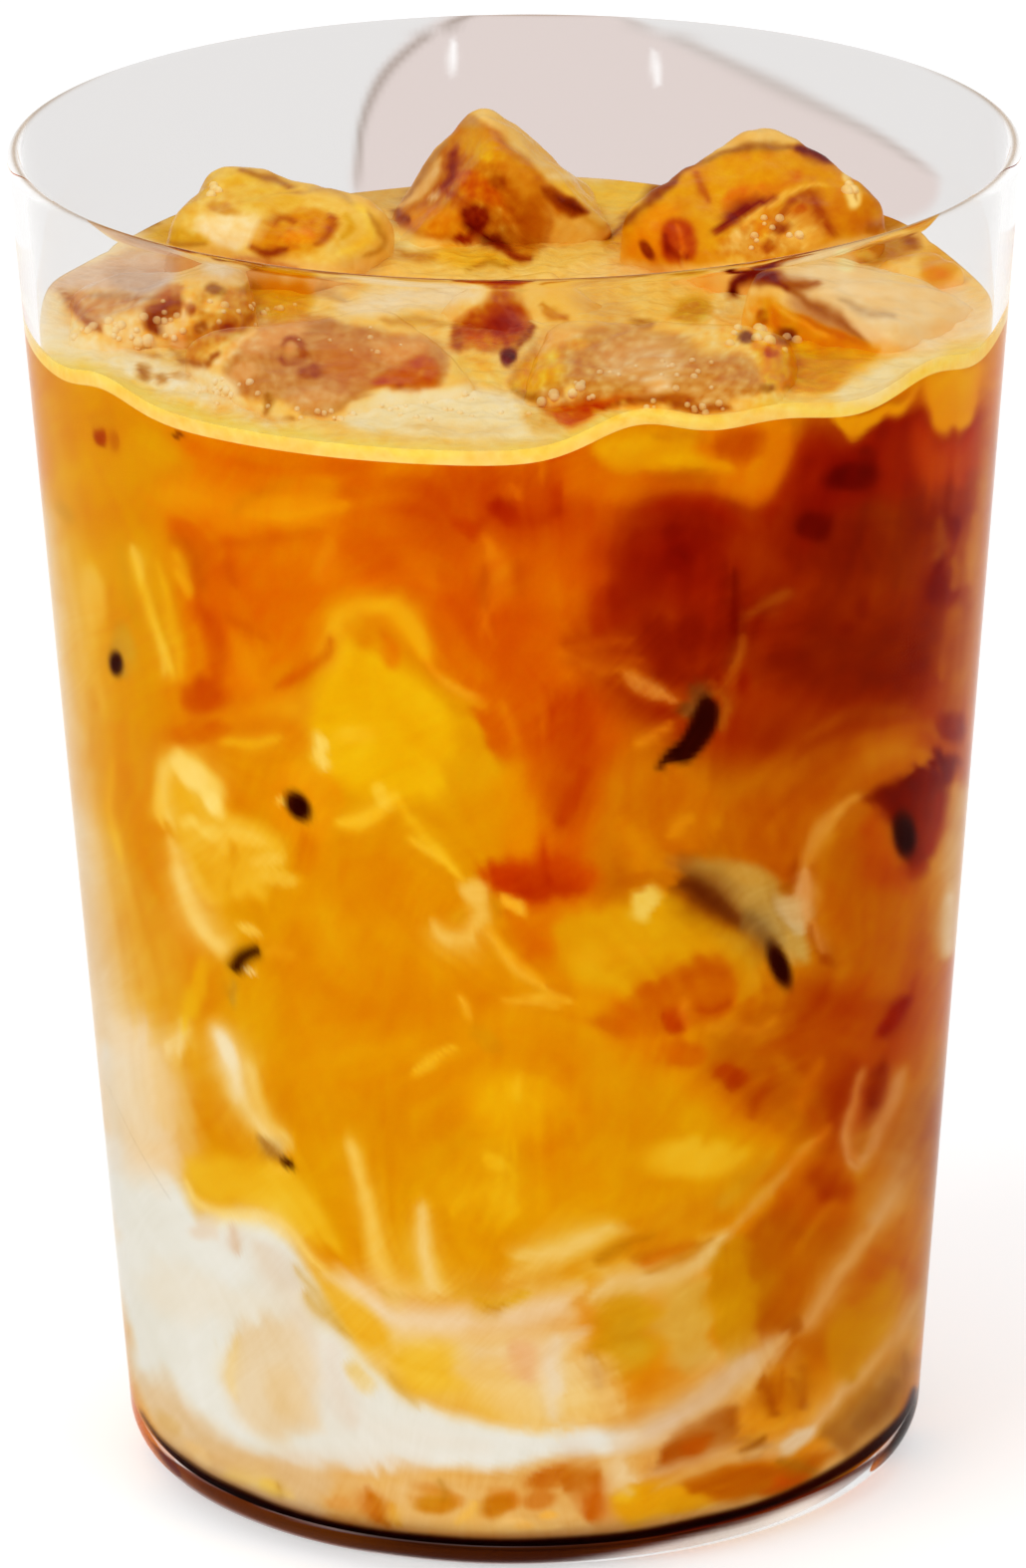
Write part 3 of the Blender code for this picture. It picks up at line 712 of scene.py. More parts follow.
# Finer marks, laid over the broad marbling
DETAILS = (
    # Upper left
    (spot, (208, 144, 24), 0.55, (13, 8, 60), 64, 518),
    (streak, (240, 192, 96), 0.5, 15, 62, 545, 78, 640, 88, 740),
    (spot, (242, 186, 70), 0.5, (30, 14, 80), 92, 600),
    (spot, (214, 130, 12), 0.6, (15, 11, 0), 102, 424),
    (streak, (216, 150, 12), 0.6, 7, 118, 545, 128, 592, 142, 642),
    (streak, (246, 190, 44), 0.7, 8, 130, 552, 146, 596, 160, 640, 176, 690),
    (streak, (242, 178, 26), 0.6, 7, 158, 560, 166, 600, 176, 640, 182, 690),
    (streak, (226, 150, 8), 0.5, 7, 146, 560, 156, 600, 168, 650),
    (spot, (206, 152, 40), 0.6, (22, 10, 75), 124, 648),
    (streak, (200, 92, 0), 0.75, 13, 166, 540, 184, 548, 197, 566, 202, 596),
    (spot, (238, 164, 22), 0.75, (17, 6, 62), 184, 588),
    (streak, (204, 76, 0), 0.75, 10, 200, 604, 210, 628, 216, 652, 216, 690),
    (spot, (206, 82, 0), 0.75, (24, 17, -10), 206, 700),
    (streak, (232, 146, 8), 0.5, 12, 196, 628, 200, 656, 196, 684),
    (streak, (234, 138, 10), 0.6, 14, 232, 632, 244, 660, 262, 690),
    (streak, (204, 84, 0), 0.6, 7, 222, 618, 248, 630, 274, 645),
    (streak, (202, 76, 0), 0.75, 10, 274, 697, 288, 682, 312, 671, 328, 656, 332, 632),
    (streak, (206, 82, 0), 0.7, 9, 227, 558, 231, 578, 240, 592),
    (streak, (214, 116, 4), 0.7, 9, 232, 520, 246, 503, 268, 492, 300, 480),
    (streak, (216, 112, 2), 0.5, 8, 296, 482, 330, 490, 372, 494),
    (streak, (220, 130, 6), 0.6, 14, 140, 498, 160, 478, 196, 468),
    (streak, (208, 90, 0), 0.6, 9, 206, 549, 244, 545, 290, 540, 330, 530),
    (streak, (232, 134, 18), 0.6, 9, 336, 536, 324, 560, 320, 588),
    (streak, (214, 98, 0), 0.6, 22, 228, 462, 290, 466, 380, 470),
    (streak, (236, 154, 14), 0.5, 14, 222, 726, 262, 712, 306, 712),
    (spot, (220, 114, 4), 0.7, (18, 12, 80), 294, 742),
    (spot, (214, 100, 0), 0.75, (34, 13, -6), 196, 738),
    # Upper middle
    (streak, (222, 114, 14), 0.75, 6, 513, 484, 517, 492, 521, 501),
    (spot, (164, 34, 0), 0.75, (14, 11, 0), 503, 511),
    (streak, (176, 44, 0), 0.6, 13, 470, 528, 500, 520, 540, 522, 572, 506),
    (streak, (228, 120, 14), 0.75, 10, 480, 534, 492, 546, 501, 570, 499, 600, 496, 620),
    (streak, (218, 104, 6), 0.5, 9, 512, 556, 508, 588, 500, 616),
    (streak, (178, 50, 0), 0.55, 9, 483, 562, 486, 590, 482, 612),
    (streak, (188, 62, 0), 0.5, 14, 520, 560, 522, 600),
    (spot, (216, 94, 2), 0.55, (42, 18, -12), 572, 584),
    (streak, (208, 86, 2), 0.5, 6, 508, 619, 550, 617, 604, 612),
    (streak, (158, 36, 0), 0.6, 26, 560, 648, 600, 630, 642, 612),
    (streak, (192, 76, 6), 0.55, 6, 566, 649, 600, 646, 644, 641),
    (streak, (190, 74, 6), 0.5, 6, 560, 666, 604, 664, 652, 662),
    (streak, (200, 74, 0), 0.5, 16, 436, 520, 444, 560, 446, 600),
    (streak, (224, 106, 4), 0.5, 18, 400, 560, 440, 590, 450, 640),
    (streak, (240, 172, 22), 0.8, 12, 366, 616, 386, 609, 404, 622, 416, 646, 430, 668),
    (streak, (226, 136, 8), 0.6, 12, 372, 640, 384, 650, 388, 670),
    (spot, (226, 116, 4), 0.8, (15, 10, 90), 392, 657),
    (streak, (228, 140, 18), 0.8, 6, 430, 672, 452, 692, 476, 706, 494, 712),
    (streak, (226, 124, 12), 0.75, 9, 505, 700, 512, 722, 519, 748),
    (streak, (190, 60, 0), 0.5, 12, 562, 690, 560, 720, 564, 750),
    (streak, (226, 134, 44), 0.8, 5, 624, 678, 648, 685, 674, 699),
    (streak, (228, 132, 24), 0.8, 9, 636, 750, 652, 739, 680, 726),
    (streak, (120, 20, 0), 0.6, 13, 650, 672, 690, 681, 722, 668),
    (streak, (206, 100, 10), 0.6, 10, 622, 762, 630, 776, 626, 790),
    # Upper right
    (streak, (194, 74, 0), 0.75, 13, 722, 462, 738, 441, 764, 436),
    (streak, (236, 166, 10), 0.7, 14, 640, 468, 690, 462, 742, 474),
    (streak, (206, 110, 8), 0.7, 9, 650, 440, 690, 436, 716, 444),
    (streak, (226, 122, 6), 0.6, 14, 716, 482, 748, 494, 780, 474, 794, 440),
    (streak, (136, 20, 0), 0.65, 22, 802, 560, 826, 506, 848, 470, 872, 434),
    (spot, (100, 11, 0), 0.85, (27, 13, -8), 854, 480),
    (spot, (112, 14, 0), 0.7, (12, 10, 0), 868, 458),
    (spot, (98, 12, 0), 0.85, (20, 15, 0), 818, 529),
    (streak, (138, 44, 2), 0.55, 40, 858, 510, 900, 530, 906, 600),
    (streak, (140, 42, 2), 0.55, 40, 800, 640, 850, 660, 920, 650),
    (spot, (116, 14, 0), 0.9, (15, 8, 100), 957, 536),
    (streak, (108, 10, 0), 0.9, 13, 947, 566, 942, 588, 932, 612),
    (streak, (168, 78, 10), 0.75, 7, 947, 522, 945, 545, 940, 566),
    (streak, (182, 90, 12), 0.75, 9, 956, 560, 962, 578, 956, 596),
    (streak, (206, 122, 34), 0.7, 9, 978, 518, 977, 556, 973, 596),
    (streak, (190, 96, 8), 0.65, 18, 962, 612, 950, 650, 946, 690),
    (spot, (116, 16, 0), 0.7, (11, 8, 90), 867, 611),
    (spot, (122, 18, 0), 0.6, (9, 7, 0), 851, 631),
    (streak, (108, 12, 0), 0.8, 11, 736, 596, 738, 640, 729, 672),
    (streak, (164, 74, 12), 0.65, 6, 748, 626, 772, 608, 800, 594),
    (streak, (178, 86, 16), 0.7, 8, 746, 636, 737, 668, 726, 692),
    (spot, (142, 26, 0), 0.7, (13, 8, 90), 748, 688),
    (streak, (156, 34, 0), 0.5, 9, 690, 600, 708, 594, 720, 604),
    (streak, (112, 8, 0), 0.6, 30, 662, 536, 684, 540, 680, 580),
    (streak, (176, 78, 8), 0.6, 15, 800, 744, 850, 722, 904, 716, 944, 738),
    (streak, (144, 36, 0), 0.5, 20, 800, 700, 860, 706, 900, 690),
    (spot, (124, 22, 0), 0.8, (18, 14, 60), 956, 734),
    # The finger and what is left of it
    (spot, (252, 214, 110), 0.85, (22, 11, 58), 186, 776),
    (spot, (252, 216, 112), 0.85, (16, 9, 62), 211, 804),
    (streak, (240, 176, 30), 0.6, 10, 172, 790, 184, 806, 194, 822),
    (streak, (248, 198, 70), 0.75, 6, 157, 786, 159, 812, 165, 836),
    (streak, (226, 138, 4), 0.65, 9, 150, 766, 147, 802, 142, 842, 150, 880, 164, 914),
    (streak, (222, 144, 6), 0.5, 8, 126, 780, 126, 830, 140, 884),
    (streak, (243, 182, 30), 0.5, 8, 112, 760, 108, 810, 122, 870),
    (spot, (248, 204, 84), 0.65, (9, 6, 0), 189, 827),
    (spot, (246, 198, 74), 0.65, (14, 8, 20), 213, 839),
    (spot, (246, 196, 70), 0.65, (20, 9, 12), 248, 842),
    (spot, (246, 198, 76), 0.65, (18, 8, -8), 266, 864),
    (spot, (244, 192, 62), 0.6, (20, 8, 0), 278, 882),
    (spot, (228, 148, 12), 0.55, (12, 5, 90), 233, 858),
    (spot, (228, 152, 10), 0.5, (16, 5, 90), 228, 898),
    (streak, (247, 206, 108), 0.85, (6, 16, 12), 172, 866, 188, 902, 208, 938, 234, 958),
    (spot, (247, 200, 84), 0.7, (14, 6, 20), 250, 936),
    (streak, (240, 170, 40), 0.5, 8, 262, 956, 284, 958, 296, 966),
    (streak, (220, 114, 0), 0.75, 12, 308, 838, 312, 858, 301, 880),
    (streak, (232, 136, 6), 0.7, 13, 274, 772, 306, 772, 330, 788, 344, 812),
    (streak, (226, 138, 6), 0.6, 10, 226, 756, 256, 778, 284, 798),
    (streak, (247, 192, 44), 0.75, 8, 332, 829, 362, 828, 384, 812, 400, 794),
    (streak, (248, 204, 84), 0.75, 9, 317, 734, 321, 754, 326, 776),
    (spot, (244, 184, 36), 0.55, (24, 10, 0), 356, 738),
    # The knot and the island
    (streak, (245, 188, 34), 0.65, 11, 392, 790, 410, 822, 432, 848, 466, 882),
    (spot, (247, 200, 66), 0.6, (16, 8, 60), 384, 800),
    (streak, (216, 104, 2), 0.7, 18, 538, 924, 532, 948, 520, 972),
    (streak, (176, 42, 0), 0.7, 26, 588, 766, 576, 800, 560, 832),
    (streak, (178, 44, 0), 0.65, 18, 510, 884, 552, 886, 588, 898),
    (streak, (226, 136, 8), 0.6, 18, 620, 820, 640, 850, 640, 880),
    (streak, (234, 154, 26), 0.75, 10, 668, 842, 686, 828, 700, 820),
    (streak, (242, 170, 30), 0.7, 6, 488, 926, 506, 952, 530, 976, 560, 1000),
    (streak, (212, 112, 4), 0.6, 7, 548, 990, 566, 996, 576, 1004),
    (streak, (244, 178, 44), 0.65, 6, 532, 1002, 558, 1002, 577, 1008),
    (streak, (234, 160, 20), 0.5, 16, 560, 960, 610, 960, 660, 950),
    (streak, (214, 142, 14), 0.75, 10, 718, 944, 740, 962, 747, 990, 744, 1012),
    (streak, (188, 72, 0), 0.7, 14, 680, 984, 712, 974, 734, 984),
    (streak, (178, 52, 0), 0.7, 10, 696, 1014, 716, 1012, 738, 1010),
    (spot, (182, 46, 0), 0.75, (15, 12, 80), 676, 1026),
    (streak, (228, 122, 22), 0.65, 6, 690, 1000, 685, 1018, 690, 1034),
    (streak, (216, 100, 0), 0.55, 34, 616, 1000, 640, 1040, 690, 1060),
    (streak, (200, 86, 0), 0.5, 14, 634, 1000, 650, 992, 664, 1000),
    (streak, (218, 128, 22), 0.65, 9, 700, 1034, 730, 1030, 762, 1036, 786, 1016),
    (spot, (220, 138, 6), 0.6, (17, 9, 35), 486, 1041),
    (streak, (222, 136, 2), 0.6, 14, 320, 1080, 360, 1074, 410, 1062),
    # The cap and the right-hand pocket
    (streak, (94, 36, 8), 0.85, 14, 684, 886, 700, 890, 720, 905, 742, 926),
    (streak, (120, 84, 40), 0.6, 16, 744, 916, 764, 930, 780, 952),
    (spot, (208, 160, 92), 0.8, (17, 13, 20), 802, 914),
    (spot, (200, 138, 46), 0.6, (24, 10, 20), 752, 880),
    (spot, (168, 84, 8), 0.75, (9, 8, 0), 790, 893),
    (streak, (228, 162, 92), 0.85, 9, 808, 872, 810, 898, 812, 926),
    (streak, (222, 146, 48), 0.8, 6, 812, 874, 820, 848, 838, 820, 862, 797),
    (streak, (218, 136, 54), 0.8, 5, 814, 922, 822, 944, 829, 960),
    (spot, (164, 66, 4), 0.75, (9, 6, 0), 830, 966),
    (streak, (190, 84, 2), 0.6, 16, 830, 880, 838, 920, 846, 950),
    (streak, (202, 112, 18), 0.7, 9, 838, 800, 856, 778, 884, 762, 914, 752),
    (streak, (140, 26, 0), 0.8, 13, 946, 796, 942, 836, 928, 868),
    (streak, (188, 78, 0), 0.75, 14, 872, 818, 880, 848, 896, 872),
    (streak, (160, 44, 0), 0.65, 12, 900, 872, 916, 880, 932, 870),
    (streak, (208, 144, 70), 0.7, 10, 964, 800, 959, 860, 955, 900),
    (streak, (220, 174, 116), 0.75, 10, 953, 900, 950, 946, 946, 976),
    # The loops at the right
    (streak, (120, 14, 0), 0.8, 18, 916, 1000, 900, 1022, 886, 1048),
    (streak, (150, 38, 0), 0.65, 26, 866, 1062, 848, 1092, 840, 1140),
    (streak, (136, 34, 0), 0.8, 16, 888, 1068, 880, 1096, 874, 1118),
    (streak, (214, 128, 54), 0.8, 6, 873, 1070, 860, 1100, 853, 1136, 856, 1160, 868, 1172),
    (streak, (214, 142, 78), 0.8, 9, 914, 1072, 902, 1096, 890, 1130, 878, 1164),
    (streak, (186, 102, 24), 0.6, 10, 870, 1136, 866, 1152, 870, 1162),
    (streak, (182, 102, 32), 0.55, 30, 930, 1090, 920, 1150, 900, 1200),
    (spot, (160, 50, 0), 0.7, (26, 16, 20), 836, 1190),
    (streak, (176, 62, 0), 0.6, 14, 780, 1070, 764, 1100, 752, 1128),
    (streak, (170, 50, 0), 0.65, 15, 740, 1070, 734, 1088, 728, 1098),
    (streak, (184, 70, 0), 0.55, 14, 810, 1110, 822, 1130, 830, 1150),
    (streak, (224, 122, 6), 0.5, 12, 830, 1060, 812, 1090, 800, 1120),
    (streak, (220, 118, 20), 0.7, 6, 788, 1184, 802, 1164, 820, 1146, 840, 1128),
    # The lower folds
    (streak, (222, 138, 4), 0.75, 8, 336, 1120, 344, 1160, 352, 1210, 360, 1262, 366, 1284),
    (streak, (243, 196, 84), 0.65, 10, 352, 1140, 366, 1200, 380, 1262, 398, 1290),
    (streak, (240, 200, 120), 0.65, 14, 420, 1206, 424, 1250, 432, 1296),
    (streak, (222, 146, 6), 0.65, 7, 398, 1212, 410, 1188, 436, 1166, 466, 1148),
    (spot, (242, 182, 28), 0.6, (14, 8, 30), 496, 1166),
    (streak, (224, 136, 2), 0.6, 18, 546, 1110, 556, 1150, 546, 1200),
    (streak, (222, 134, 2), 0.65, 12, 580, 1150, 592, 1184, 606, 1216),
    (streak, (218, 126, 2), 0.5, 14, 560, 1110, 572, 1140, 578, 1160),
    (streak, (238, 174, 20), 0.5, 30, 440, 1210, 500, 1200, 520, 1230),
    (streak, (238, 192, 96), 0.65, 14, 500, 1290, 550, 1262, 610, 1240),
    (streak, (222, 160, 34), 0.7, 9, 450, 1302, 480, 1294, 500, 1304),
    (streak, (206, 140, 30), 0.75, 5, 482, 1312, 496, 1314, 508, 1308),
    (streak, (196, 124, 16), 0.8, 8, 598, 1272, 612, 1258, 636, 1248),
    (streak, (208, 100, 4), 0.75, 10, 640, 1272, 664, 1262, 700, 1250),
    (streak, (192, 112, 10), 0.7, 5, 640, 1280, 672, 1272, 700, 1256, 720, 1242),
    (streak, (228, 182, 100), 0.75, 12, 600, 1298, 650, 1290, 696, 1272, 726, 1248),
    (streak, (222, 152, 60), 0.75, 6, 728, 1250, 744, 1228, 770, 1202, 794, 1172),
    (streak, (208, 140, 16), 0.6, 14, 716, 1280, 718, 1310, 726, 1346),
    (streak, (228, 158, 100), 0.7, 20, 506, 1350, 528, 1364, 532, 1392),
    (streak, (204, 148, 84), 0.55, 16, 590, 1356, 598, 1376, 604, 1398),
    (spot, (208, 150, 30), 0.6, (24, 16, 60), 632, 1344),
    (streak, (214, 156, 52), 0.55, 14, 676, 1310, 686, 1346, 690, 1384),
    (streak, (230, 204, 168), 0.6, 20, 560, 1336, 556, 1372, 562, 1404),
    (streak, (186, 102, 4), 0.65, 10, 752, 1250, 768, 1290, 764, 1334),
    (streak, (196, 98, 4), 0.6, 26, 790, 1240, 806, 1280, 790, 1320),
    (streak, (192, 90, 2), 0.55, 24, 880, 1250, 872, 1284, 850, 1310),
    (streak, (206, 134, 8), 0.6, 26, 892, 1290, 872, 1340, 850, 1390),
    (streak, (216, 148, 72), 0.8, 13, 800, 1344, 818, 1322, 846, 1276, 872, 1236),
    (streak, (204, 138, 74), 0.65, 22, 872, 1236, 892, 1210, 916, 1160),
    (spot, (172, 82, 10), 0.8, (9, 7, 40), 802, 1330),
    (streak, (222, 164, 92), 0.8, 9, 796, 1332, 776, 1360, 752, 1388),
    (streak, (222, 188, 150), 0.7, 24, 640, 1444, 690, 1416, 730, 1382, 764, 1356),
    (streak, (172, 80, 6), 0.75, 13, 768, 1382, 774, 1404, 780, 1426),
    (streak, (170, 78, 8), 0.75, 16, 806, 1370, 808, 1396, 806, 1418),
    (streak, (204, 128, 8), 0.6, 20, 838, 1360, 850, 1376, 860, 1390),
    (streak, (178, 78, 6), 0.75, 12, 664, 1470, 690, 1452, 722, 1440),
    (spot, (190, 84, 8), 0.7, (16, 7, -25), 700, 1452),
    (streak, (150, 78, 10), 0.75, 9, 742, 1462, 756, 1454, 772, 1442),
    # Painted shade at the heel, on the right
    (streak, (138, 80, 26), 0.7, 26, 858, 1440, 880, 1416, 906, 1388),
    (streak, (190, 130, 60), 0.5, 14, 880, 1400, 896, 1376, 912, 1350),
    # The milk's corner
    (streak, (233, 208, 168), 0.7, (10, 16, 24), 74, 800, 86, 900, 98, 1000, 108, 1100),
    (streak, (231, 222, 206), 0.75, 20, 104, 1050, 112, 1120, 118, 1190),
    (streak, (176, 100, 24), 0.6, (14, 22, 16), 948, 1050, 940, 1130, 930, 1220),
    (streak, (238, 216, 178), 0.6, 40, 118, 1060, 140, 1120, 160, 1150),
    (streak, (240, 200, 128), 0.6, 20, 150, 1050, 158, 1100, 166, 1140),
    (spot, (230, 180, 90), 0.5, (22, 10, 80), 184, 1130),
    (streak, (244, 222, 176), 0.8, 15, 216, 1030, 228, 1056, 236, 1086, 238, 1110),
    (streak, (244, 204, 112), 0.75, 11, 250, 1060, 254, 1096, 268, 1128, 296, 1152),
    (streak, (170, 112, 40), 0.65, 8, 262, 1144, 272, 1154, 284, 1166),
    (streak, (246, 196, 64), 0.5, 6, 266, 1166, 278, 1176, 292, 1182),
    (streak, (247, 212, 124), 0.75, 8, 196, 1206, 216, 1222, 246, 1222, 270, 1230, 294, 1252),
    (spot, (230, 202, 158), 0.65, (12, 7, 0), 206, 1226),
    (streak, (222, 190, 156), 0.7, 9, 230, 1232, 234, 1246, 238, 1262),
    (streak, (224, 204, 178), 0.6, 16, 262, 1246, 282, 1272, 300, 1296),
    (streak, (212, 156, 52), 0.7, 9, 300, 1292, 318, 1316, 340, 1336, 356, 1346),
    (streak, (238, 196, 128), 0.7, 12, 318, 1280, 350, 1294, 384, 1304),
    (streak, (222, 170, 70), 0.65, 6, 380, 1296, 396, 1304, 410, 1302),
    (streak, (214, 160, 60), 0.6, 8, 388, 1376, 402, 1396, 424, 1414),
    (spot, (234, 194, 98), 0.7, (13, 8, 50), 356, 1376),
    (streak, (238, 204, 136), 0.6, 8, 234, 1352, 230, 1380, 236, 1410),
    (spot, (228, 188, 124), 0.6, (30, 20, 70), 284, 1400),
    (streak, (228, 208, 184), 0.6, 30, 330, 1340, 340, 1400, 360, 1440),
    (streak, (230, 210, 184), 0.55, 22, 270, 1466, 350, 1470, 440, 1472),
    (streak, (232, 222, 204), 0.5, 26, 360, 1430, 430, 1446, 500, 1456),
    # The speckled bottom
    (spot, (236, 190, 72), 0.75, (13, 9, 20), 268, 1494),
    (streak, (200, 140, 48), 0.6, 6, 276, 1486, 280, 1498, 276, 1508),
    (spot, (222, 176, 100), 0.6, (16, 9, 40), 168, 1432),
    (spot, (240, 200, 132), 0.6, (18, 7, 45), 196, 1462),
    (streak, (242, 204, 142), 0.7, 6, 186, 1468, 232, 1490, 290, 1512, 340, 1524),
    (streak, (192, 96, 6), 0.8, 9, 366, 1498, 376, 1508, 380, 1524, 392, 1536),
    (streak, (226, 150, 30), 0.7, 8, 388, 1508, 394, 1524, 404, 1534),
    (spot, (226, 158, 76), 0.6, (14, 8, 0), 340, 1512),
    (spot, (196, 112, 10), 0.75, (20, 10, 0), 436, 1512),
    (streak, (180, 110, 20), 0.6, 6, 440, 1484, 446, 1498, 440, 1510),
    (streak, (244, 186, 72), 0.8, 6, 478, 1506, 470, 1522, 454, 1532),
    (spot, (196, 112, 12), 0.75, (17, 12, -20), 496, 1512),
    (streak, (246, 196, 110), 0.7, 7, 482, 1540, 510, 1530, 530, 1528),
    (spot, (206, 116, 30), 0.7, (18, 10, 0), 540, 1506),
    (spot, (246, 180, 70), 0.75, (9, 5, 0), 552, 1522),
    (spot, (246, 184, 84), 0.7, (12, 5, -10), 526, 1534),
    (streak, (188, 90, 4), 0.75, 22, 562, 1496, 586, 1484, 606, 1480),
    (streak, (196, 84, 6), 0.75, 16, 604, 1496, 600, 1516, 588, 1532),
    (streak, (232, 190, 122), 0.75, 9, 622, 1474, 626, 1492, 640, 1504),
    (spot, (226, 158, 20), 0.7, (26, 8, -8), 686, 1512),
    (streak, (186, 94, 6), 0.65, 16, 690, 1500, 740, 1484, 790, 1480),
    (spot, (206, 88, 12), 0.7, (9, 6, 0), 786, 1490),
    (streak, (158, 104, 24), 0.55, 9, 780, 1468, 806, 1474, 824, 1480),
    (streak, (222, 166, 88), 0.7, 8, 650, 1500, 700, 1478, 750, 1462, 790, 1456),
)

# The crema and the ice as the camera sees them
FROTH = (241, 211, 156)
PALE_FROTH = (248, 219, 156)
HONEY = (240, 193, 84)
PEACH = (222, 184, 144)
BISCUIT = (210, 148, 66)
ROSE_TAN = (206, 142, 70)

